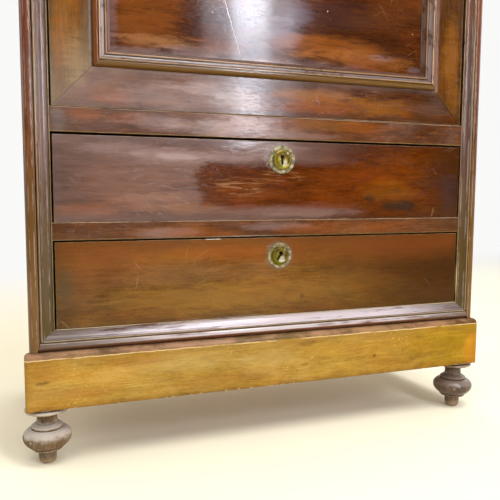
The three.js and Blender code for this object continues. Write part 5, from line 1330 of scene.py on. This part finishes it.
def upper_marks(h):
    """Greyed polish, bloom and painted sheen, on the left with a ragged end and in a run along the top, an orange patch
    where the polish is thick, smears in it painted as streaky highlights, dull spots on the right, a dark rim, and a
    pale ring of old polish round the escutcheon."""
    N = h["N"]
    x, z = local_x(N), local_z(N)
    r = rim(N, x, z, -0.379, 0.379, 0.3886, 0.524, 0.022, 0.9)
    ends = N.smooth(N.math("ADD", N.math("ABSOLUTE", x), N.math("MULTIPLY", N.math("SUBTRACT", h["cloud"], 0.5), 0.22)), 0.29, 0.385)
    h["col"] = N.mix(N.math("MULTIPLY", N.math("MAXIMUM", N.math("MULTIPLY", r, 0.7), ends), 0.62), h["col"], srgb(44, 24, 8))
    rag = N.noise(N.vmath("MULTIPLY", N.coord, (14.0, 14.0, 42.0)), 1.0, 5.0, 0.68, 0.6)
    jag = N.math("MULTIPLY", N.math("SUBTRACT", rag, 0.5), 0.09)
    left = N.math("SUBTRACT", 1.0, N.smooth(N.math("ADD", x, jag), -0.158, -0.136))
    low = N.math("SUBTRACT", 1.0, N.smooth(N.math("ADD", z, N.math("MULTIPLY", jag, 0.3)), 0.405, 0.420))
    high = N.smooth(N.math("ADD", z, N.math("MULTIPLY", jag, 0.35)), 0.478, 0.494)
    mid = N.math("MULTIPLY", N.math("MAXIMUM", low, high), N.math("SUBTRACT", 1.0, N.smooth(x, -0.02, 0.20)))
    dull = N.math("MAXIMUM", left, mid)
    streaky = N.math("MULTIPLY_ADD", N.math("SUBTRACT", N.noise(N.vmath("MULTIPLY", N.coord, (7.0, 7.0, 60.0)), 1.0, 4.0, 0.65), 0.5), 1.6, 0.75, clamp=True)
    # bloom and painted sheen on the left and along the top: a lilac veil
    h["haze"] = N.math("MULTIPLY_ADD", N.math("MULTIPLY", dull, streaky), 0.34, h["haze"], clamp=True)
    h["haze_color"] = srgb(150, 124, 116)
    warm = N.math("MULTIPLY", N.math("SUBTRACT", 1.0, dull), N.smooth(x, -0.16, -0.10))
    warm = N.math("MULTIPLY", warm, N.smooth(x, 0.36, 0.24))
    h["col"] = N.mix(N.math("MULTIPLY", warm, 0.85), h["col"], N.mix(1.0, h["col"], (1.14, 0.96, 0.52, 1), "MULTIPLY"))
    h["coat"] = N.math("MULTIPLY_ADD", warm, -0.28, 0.70)
    # smears left by wiping, painted as streaky highlights
    sm = N.noise(N.vmath("MULTIPLY", N.coord, (16.0, 16.0, 190.0)), 1.0, 4.0, 0.7, 0.8)
    zone = N.math("MAXIMUM", N.math("MULTIPLY", bell(N, x, -0.078, 0.028, 0.03), bell(N, z, 0.443, 0.010, 0.014)),
                  N.math("MULTIPLY", bell(N, x, 0.0, 0.02, 0.04), bell(N, z, 0.463, 0.004, 0.010)))
    sm = N.math("MULTIPLY", N.smooth(sm, 0.50, 0.64), zone)
    h["col"] = N.mix(N.math("MULTIPLY", sm, 0.40), h["col"], srgb(178, 128, 84))
    for cx, cz, rx, rz, k in ((0.181, 0.428, 0.014, 0.009, 0.8), (0.241, 0.441, 0.011, 0.008, 0.65), (0.242, 0.411, 0.036, 0.011, 0.8),
                              (0.10, 0.402, 0.03, 0.006, 0.4), (0.145, 0.446, 0.006, 0.004, 0.5)):
        dx = N.math("DIVIDE", N.math("SUBTRACT", x, cx), rx)
        dz = N.math("DIVIDE", N.math("SUBTRACT", z, cz), rz)
        d = N.math("ADD", N.math("MULTIPLY", dx, dx), N.math("MULTIPLY", dz, dz))
        d = N.math("ADD", d, N.math("MULTIPLY", N.math("SUBTRACT", h["blotch"], 0.5), 2.6))
        h["col"] = N.mix(N.math("MULTIPLY", N.math("SUBTRACT", 1.0, N.smooth(d, 0.2, 1.4)), k), h["col"], srgb(42, 27, 16))
    # patches in the polish; the lilac and pale ones are painted sheen
    for spot in ((-0.276, 0.503, 0.070, 0.010, 0.45, PAINTED_LILAC_SHEEN), (-0.205, 0.494, 0.070, 0.012, 0.50, PAINTED_LILAC_SHEEN), (-0.185, 0.494, 0.030, 0.005, 0.50, PAINTED_PALE_SHEEN),
                 (-0.095, 0.497, 0.060, 0.010, 0.45, PAINTED_LILAC_SHEEN), (-0.02, 0.512, 0.070, 0.006, 0.40, PAINTED_LILAC_SHEEN), (-0.330, 0.408, 0.050, 0.010, 0.50, ORANGE),
                 (-0.235, 0.420, 0.070, 0.014, 0.45, srgb(158, 98, 52)), (-0.170, 0.410, 0.050, 0.010, 0.40, AMBER), (-0.255, 0.455, 0.080, 0.024, 0.35, srgb(132, 96, 78)),
                 (-0.372, 0.460, 0.006, 0.050, 0.5, srgb(58, 48, 48)), (0.06, 0.400, 0.090, 0.007, 0.40, srgb(150, 118, 106)), (0.16, 0.470, 0.110, 0.016, 0.40, srgb(124, 58, 8)),
                 (0.22, 0.440, 0.060, 0.018, 0.35, AMBER), (0.335, 0.475, 0.030, 0.030, 0.45, srgb(62, 32, 22)), (0.36, 0.43, 0.020, 0.040, 0.5, srgb(54, 42, 42))):
        patch(h, *spot)
    residue(h, -0.003, 0.4985, 0.0300, 0.0250, 0.62, srgb(150, 140, 138))


def residue(h, cx, cz, rx, rz, k, tone):
    """Ragged ring of old polish and dust round a plate, broken and flecked with dark."""
    N = h["N"]
    x, z = local_x(N), local_z(N)
    dx = N.math("DIVIDE", N.math("SUBTRACT", x, cx), rx)
    dz = N.math("DIVIDE", N.math("SUBTRACT", z, cz), rz)
    d = N.math("SQRT", N.math("ADD", N.math("MULTIPLY", dx, dx), N.math("MULTIPLY", dz, dz)))
    n1 = N.noise(N.coord, 48.0, 7.0, 0.72)
    n2 = N.noise(N.coord, 330.0, 4.0, 0.7)
    d = N.math("ADD", d, N.math("MULTIPLY", N.math("SUBTRACT", n1, 0.5), 0.8))
    ring = N.math("SUBTRACT", 1.0, N.smooth(d, 0.80, 1.14))
    fleck = N.smooth(n2, 0.30, 0.68)
    h["col"] = N.mix(N.math("MULTIPLY", ring, 0.6 * k), h["col"], srgb(58, 48, 40))
    h["col"] = N.mix(N.math("MULTIPLY", N.math("MULTIPLY", ring, fleck), k), h["col"], tone)
    h["rough"] = N.math("MULTIPLY_ADD", ring, 0.25, h["rough"])


def lower_marks(h):
    """Golden brown from the lower left to the middle, redder and darker along the top and towards the right, with a dark rim."""
    N = h["N"]
    x, z = local_x(N), local_z(N)
    r = rim(N, x, z, -0.379, 0.379, 0.2206, 0.357, 0.018, 4.1)
    wander = N.math("MULTIPLY", N.math("SUBTRACT", h["cloud"], 0.5), 0.22)
    slope = N.math("MULTIPLY_ADD", z, 0.9, N.math("ADD", x, wander))
    ends = N.smooth(slope, 0.24, 0.58)
    endl = N.smooth(N.math("MULTIPLY_ADD", wander, 0.4, x), -0.335, -0.385)
    h["col"] = N.mix(N.math("MULTIPLY", ends, 0.84), h["col"], srgb(50, 24, 6))
    h["coat"] = N.span(N.smooth(x, -0.02, 0.30), 0.0, 1.0, 0.40, 0.14)
    red = N.math("MULTIPLY", N.smooth(N.math("MULTIPLY_ADD", wander, 0.30, z), 0.292, 0.345), 0.6)
    h["col"] = N.mix(red, h["col"], srgb(116, 62, 24))
    for spot in ((-0.300, 0.315, 0.075, 0.030, 0.50, srgb(122, 68, 34)), (-0.345, 0.275, 0.030, 0.040, 0.45, srgb(106, 64, 38)), (-0.18, 0.330, 0.070, 0.014, 0.40, AMBER),
                 (-0.10, 0.333, 0.090, 0.010, 0.50, srgb(138, 72, 20)), (-0.19, 0.300, 0.080, 0.020, 0.35, srgb(136, 96, 58)), (-0.17, 0.256, 0.130, 0.022, 0.50, srgb(142, 100, 26)),
                 (-0.05, 0.262, 0.090, 0.024, 0.40, srgb(134, 94, 26)), (-0.05, 0.300, 0.070, 0.016, 0.30, srgb(138, 100, 60)), (0.07, 0.262, 0.080, 0.022, 0.45, srgb(128, 84, 16)),
                 (0.16, 0.270, 0.070, 0.020, 0.35, srgb(112, 66, 16)), (0.11, 0.255, 0.030, 0.016, 0.35, srgb(86, 70, 30)), (0.28, 0.330, 0.070, 0.014, 0.35, srgb(84, 40, 22)),
                 (-0.365, 0.290, 0.012, 0.030, 0.5, srgb(76, 70, 50)), (0.045, 0.250, 0.004, 0.004, 0.6, srgb(60, 48, 16))):
        patch(h, *spot)
    dark = N.math("MAXIMUM", N.math("MULTIPLY", r, 0.55), endl)
    h["col"] = N.mix(N.math("MULTIPLY", dark, 0.42), h["col"], srgb(54, 40, 18))
    worn = N.math("MULTIPLY", bell(N, x, -0.122, 0.010, 0.006), N.smooth(z, 0.3555, 0.3562))
    h["col"] = N.mix(N.math("MULTIPLY", worn, 0.8), h["col"], srgb(226, 214, 196))
    residue(h, -0.001, 0.3262, 0.0265, 0.0258, 0.46, srgb(144, 132, 112))


drawer_front("lower", Z_BASE, 136.4, (0, 325, 0.5), 0.5, 201, lower_marks, "drawer_gold", (0.05, 0.35, 0.55))
drawer_front("upper", Z_UP, 135.4, (3, 493), 0.0, 207, upper_marks, "drawer", (0.65, 0.25, 0.15))

# ----------------------------------------------------------------- escutcheons
ESC_LARGE = [
    [24.5, 0.3], [24.5, 0.9], [23.8, 1.2], [18.6, 1.3], [18.1, 2.4], [16.8, 3.9], [14.6, 4.5], [12.4, 3.9], [10.8, 2.7], [9.8, 2.3],
]
ESC_SMALL = [
    [22.5, 0.3], [22.5, 1.0], [21.6, 1.5], [19.6, 1.5], [18.8, 1.1], [16, 1.2], [15.4, 2.4], [14.2, 3.8], [12.6, 4.2], [11, 3.6],
    [10, 2.7], [9.2, 2.4],
]


def brass_finish(cx, cz, lean):
    """Dull pale flange, tarnished olive ring, a rubbed spot to the lower right of the keyhole."""
    def hook(N, col, r, metallic):
        x, z = local_x(N), local_z(N)
        dx, dz = N.math("SUBTRACT", x, cx), N.math("SUBTRACT", z, cz)
        d = N.math("SQRT", N.math("ADD", N.math("MULTIPLY", dx, dx), N.math("MULTIPLY", dz, dz)))
        nn = N.noise(N.coord, 260.0, 4.0, 0.7)
        n2 = N.noise(N.coord, 120.0, 4.0, 0.7)
        flange = N.smooth(N.math("ADD", d, N.math("MULTIPLY", N.math("SUBTRACT", nn, 0.5), 0.005)), 0.0168, 0.0186)
        pale = N.mix(N.smooth(n2, 0.42, 0.60), srgb(92, 82, 56), srgb(176, 166, 134))
        col = N.mix(N.math("MULTIPLY", flange, 0.75), col, pale)
        r = N.math("MULTIPLY_ADD", flange, 0.22, r, clamp=True)
        metallic = N.math("MULTIPLY", metallic, N.math("SUBTRACT", 1.0, N.math("MULTIPLY", flange, 0.6)))
        olive = N.math("MULTIPLY", N.smooth(N.math("ADD", N.math("ADD", dx, dz), N.math("MULTIPLY", N.math("SUBTRACT", n2, 0.5), 0.02)), 0.006, -0.010), N.math("SUBTRACT", 1.0, flange))
        col = N.mix(N.math("MULTIPLY", olive, 0.6), col, srgb(112, 104, 26))
        sx, sz = N.math("SUBTRACT", dx, 0.003), N.math("ADD", dz, 0.006)
        spot = N.math("SQRT", N.math("ADD", N.math("MULTIPLY", sx, sx), N.math("MULTIPLY", sz, sz)))
        spot = N.smooth(N.math("ADD", spot, N.math("MULTIPLY", N.math("SUBTRACT", nn, 0.5), 0.008)), 0.0072, 0.0040)
        col = N.mix(N.math("MULTIPLY", spot, 0.6 * lean), col, srgb(196, 190, 166))
        r = N.math("MULTIPLY_ADD", spot, 0.12, r, clamp=True)
        return col, r, metallic
    return hook


for node, body, x, z, prof, tilt, lean in (
    ("door_escutcheon", "door", -350, 1180, ESC_SMALL, 0.0, 0.4), ("drawer_lower_escutcheon", "drawer_lower", 0, 325, ESC_SMALL, 0.5, 1.0),
    ("drawer_upper_escutcheon", "drawer_upper", 3, 493, ESC_LARGE, 0.0, 0.7),
):
    ob = turned(node + "_plate", [[0, 0.3]] + prof + [[0, prof[-1][1]]], (x, z), 128, True, 0.003, 300 + x, 0.5)
    weather(ob, 0.05, 9, 3, [(x + 17, -1, z - 12, 4, 0.35), (x - 20, -1, z + 6, 4, 0.3), (x + 9, -4, z + 11, 3, 0.35)])
    cut(ob, tool_prism(keyhole(x, z, tilt), -10, 5, 1))
    place(ob, node, body, "brass",
          metal("worn_brass_" + body, srgb(128, 110, 56), srgb(78, 68, 26), srgb(38, 32, 18), 0.42, 0.3,
                brass_finish(x / 1000, z / 1000, lean)), 28)

# -------------------------------------------------- pieces kept as they are
pine = wood("inside_board", "pine", "X", (0.2, 0.2, 0.9), gloss=0.6, coat=0.0, haze=0.12, bump=0.5, haze_color=(0.22, 0.17, 0.12, 1), scratches=0.3, streak=1.3, mottle=0.4, hues=0.2)
pine_y = wood("inside_bearer", "pine", "Y", (0.4, 0.2, 0.9), gloss=0.62, coat=0.0, haze=0.2, bump=0.5, haze_color=(0.16, 0.11, 0.07, 1), scratches=0.3, streak=1.3, mottle=0.5, hues=0.2)
oak_y = wood("drawer_side_oak", "oak", "Y", (0.3, 0.6, 0.2), gloss=0.55, coat=0.05, haze=0.10, bump=0.5, haze_color=(0.24, 0.18, 0.12, 1), scratches=0.4, streak=1.25, mottle=0.45, hues=0.2)
oak_x = wood("drawer_bottom_oak", "oak", "X", (0.8, 0.6, 0.2), gloss=0.58, coat=0.03, haze=0.10, bump=0.5, haze_color=(0.24, 0.18, 0.12, 1), scratches=0.4, streak=1.25, mottle=0.45, hues=0.2)
steel = metal("lock_iron", srgb(92, 88, 84), srgb(64, 56, 50), srgb(66, 40, 26), 0.5, 0.2)
bolt_brass = metal("bolt_brass", srgb(186, 152, 84), srgb(140, 112, 56), srgb(64, 48, 28), 0.34, 0.5)
for name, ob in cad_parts.items():
    if name in ("bottom_board", "cupboard_floor", "shelf_lower", "shelf_upper", "top_board"):
        mat, width = pine, 0.0008
    elif name.startswith("bearer"):
        mat, width = pine_y, 0.0008
    elif name.startswith("runner"):
        mat, width = oak_y, 0.0006
    elif name.startswith("drawer") and "_side_" in name:
        mat, width = oak_y, 0.0005
    elif name.startswith("drawer") and (name.endswith("_bottom") or name.endswith("_back")):
        mat, width = oak_x, 0.0006
    elif name.endswith("lock_case") or name.startswith("pivot"):
        mat, width = steel, 0.0003
    elif name.endswith("lock_bolt"):
        mat, width = bolt_brass, 0.0004
    else:
        continue
    for s in ob.material_slots:
        s.material = mat
    b = ob.modifiers.new("soft_edges", "BEVEL")
    b.width, b.segments, b.limit_method, b.angle_limit = width, 2, "ANGLE", math.radians(40)

# ----------------------------------------------------------------------- floor
def floor():
    rings, seg = [0.0] + [0.4 * 1.35**i for i in range(14)], 96
    verts = [(0.0, 0.0, 0.0)]
    faces = []
    for r in rings[1:]:
        verts += [(r * math.cos(2 * math.pi * s / seg), r * math.sin(2 * math.pi * s / seg), 0.0) for s in range(seg)]
    for s in range(seg):
        faces.append((0, 1 + s, 1 + (s + 1) % seg))
    for q in range(len(rings) - 2):
        a, b = 1 + q * seg, 1 + (q + 1) * seg
        for s in range(seg):
            faces.append((a + s, b + s, b + (s + 1) % seg, a + (s + 1) % seg))
    me = bpy.data.meshes.new("floor")
    me.from_pydata(verts, [], faces)
    ob = bpy.data.objects.new("floor", me)
    bpy.context.scene.collection.objects.link(ob)
    mat = bpy.data.materials.new("pale_floor")
    N = Net(mat)
    n = N.noise(N.coord, 2.0, 3.0)
    far = N.smooth(N.xyz(N.coord)[1], 0.5, 2.6)
    cream = N.mix(n, (0.87, 0.80, 0.60, 1), (0.90, 0.84, 0.65, 1))
    N.put(N.bsdf.inputs["Base Color"], N.mix(far, cream, (0.0, 0.0, 0.0, 1)))
    N.bsdf.inputs["Emission Color"].default_value = (0.95, 0.95, 0.94, 1)
    N.put(N.bsdf.inputs["Emission Strength"], far)
    N.bsdf.inputs["Specular IOR Level"].default_value = 0.0
    N.put(N.bsdf.inputs["Roughness"], N.span(n, 0.3, 0.7, 0.55, 0.65))
    me.materials.append(mat)


floor()

# ---------------------------------------------------------------- light, world
scene = bpy.context.scene
scene.view_settings.view_transform = "Standard"
scene.view_settings.look = "None"
scene.view_settings.exposure = 0.0
scene.view_settings.gamma = 1.0


def card(name, at, target, size, power, colour=(1, 1, 1)):
    li = bpy.data.lights.new(name, "AREA")
    li.shape, li.size, li.size_y = "RECTANGLE", size[0], size[1]
    li.energy, li.color = power, colour
    ob = bpy.data.objects.new(name, li)
    scene.collection.objects.link(ob)
    at, target = Vector(at), Vector(target)
    ob.matrix_world = Matrix.Translation(at) @ (target - at).to_track_quat("-Z", "Y").to_matrix().to_4x4()
    ob.visible_camera = False
    return ob


card("overhead", (-0.9, -1.5, 3.1), (-0.1, -0.1, 0.6), (2.2, 2.0), 38, (1.0, 0.975, 0.94))
card("front_softbox", (0.60, -1.55, 3.0), (0.05, -0.2, 0.2), (1.0, 1.5), 50, (0.95, 0.96, 1.0))
card("left_card", (0.05, -2.3, 0.90), (-0.3, -0.2, 0.55), (0.9, 0.36), 3.6, (0.94, 0.95, 1.0))
card("right_strip", (0.65, -2.1, 1.23), (-0.06, -0.2, 0.72), (0.17, 1.08), 17.5, (0.86, 0.88, 1.0))
card("strip_spill", (0.66, -2.15, 1.21), (-0.06, -0.2, 0.70), (0.44, 1.10), 10, (0.90, 0.91, 1.0))
card("right_card", (3.0, -1.2, 1.2), (-0.39, -0.19, 0.6), (0.7, 2.2), 20, (0.97, 0.97, 1.0))
card("back_fill", (0.4, 2.6, 2.2), (0.0, 0.2, 0.9), (2.4, 2.0), 45)
card("left_fill", (-2.6, 0.3, 1.5), (0.0, 0.0, 0.9), (1.6, 2.0), 22)
card("right_fill", (2.6, 0.9, 1.6), (0.0, 0.1, 0.9), (1.6, 2.0), 12)

world = bpy.data.worlds.new("studio")
scene.world = world
world.use_nodes = True
wt = world.node_tree
wt.nodes.clear()
out = wt.nodes.new("ShaderNodeOutputWorld")
mixer = wt.nodes.new("ShaderNodeMixShader")
seen, lit = wt.nodes.new("ShaderNodeBackground"), wt.nodes.new("ShaderNodeBackground")
path = wt.nodes.new("ShaderNodeLightPath")
seen.inputs[0].default_value = (0.95, 0.95, 0.94, 1)
lit.inputs[0].default_value = (1.0, 1.0, 1.0, 1)
geo = wt.nodes.new("ShaderNodeTexCoord")
sep = wt.nodes.new("ShaderNodeSeparateXYZ")
wt.links.new(geo.outputs["Generated"], sep.inputs[0])
ramp = wt.nodes.new("ShaderNodeMapRange")
ramp.interpolation_type = "SMOOTHSTEP"
ramp.inputs["From Min"].default_value, ramp.inputs["From Max"].default_value = -0.75, 0.6
ramp.inputs["To Min"].default_value, ramp.inputs["To Max"].default_value = 0.02, 0.55
wt.links.new(sep.outputs["Y"], ramp.inputs["Value"])
up = wt.nodes.new("ShaderNodeMapRange")
up.inputs["From Min"].default_value, up.inputs["From Max"].default_value = 0.35, 1.0
up.inputs["To Min"].default_value, up.inputs["To Max"].default_value = 0.0, 0.35
wt.links.new(sep.outputs["Z"], up.inputs["Value"])
add = wt.nodes.new("ShaderNodeMath")
wt.links.new(ramp.outputs[0], add.inputs[0])
wt.links.new(up.outputs[0], add.inputs[1])
wt.links.new(add.outputs[0], lit.inputs[1])
wt.links.new(path.outputs["Is Camera Ray"], mixer.inputs[0])
wt.links.new(lit.outputs[0], mixer.inputs[1])
wt.links.new(seen.outputs[0], mixer.inputs[2])
wt.links.new(mixer.outputs[0], out.inputs[0])

# ---------------------------------------------------------------------- camera
rx, ry, rz = (math.radians(a) for a in (5.479, -20.217, 0.252))
Rx = np.array([[1, 0, 0], [0, math.cos(rx), -math.sin(rx)], [0, math.sin(rx), math.cos(rx)]])
Ry = np.array([[math.cos(ry), 0, math.sin(ry)], [0, 1, 0], [-math.sin(ry), 0, math.cos(ry)]])
Rz = np.array([[math.cos(rz), -math.sin(rz), 0], [math.sin(rz), math.cos(rz), 0], [0, 0, 1]])
V = Rz @ Rx @ Ry @ np.array([[1, 0, 0], [0, 0, -1], [0, 1, 0]])
cam_data = bpy.data.cameras.new("camera")
cam_data.sensor_fit, cam_data.sensor_width, cam_data.lens = "HORIZONTAL", 36.0, 44.01
cam_data.clip_start = 0.02
cam = bpy.data.objects.new("camera", cam_data)
scene.collection.objects.link(cam)
cam.matrix_world = Matrix([
    [V[0][0], -V[1][0], -V[2][0], -0.421],
    [V[0][1], -V[1][1], -V[2][1], -1.1821],
    [V[0][2], -V[1][2], -V[2][2], 0.4376],
    [0, 0, 0, 1],
])
scene.camera = cam

bpy.context.view_layer.update()
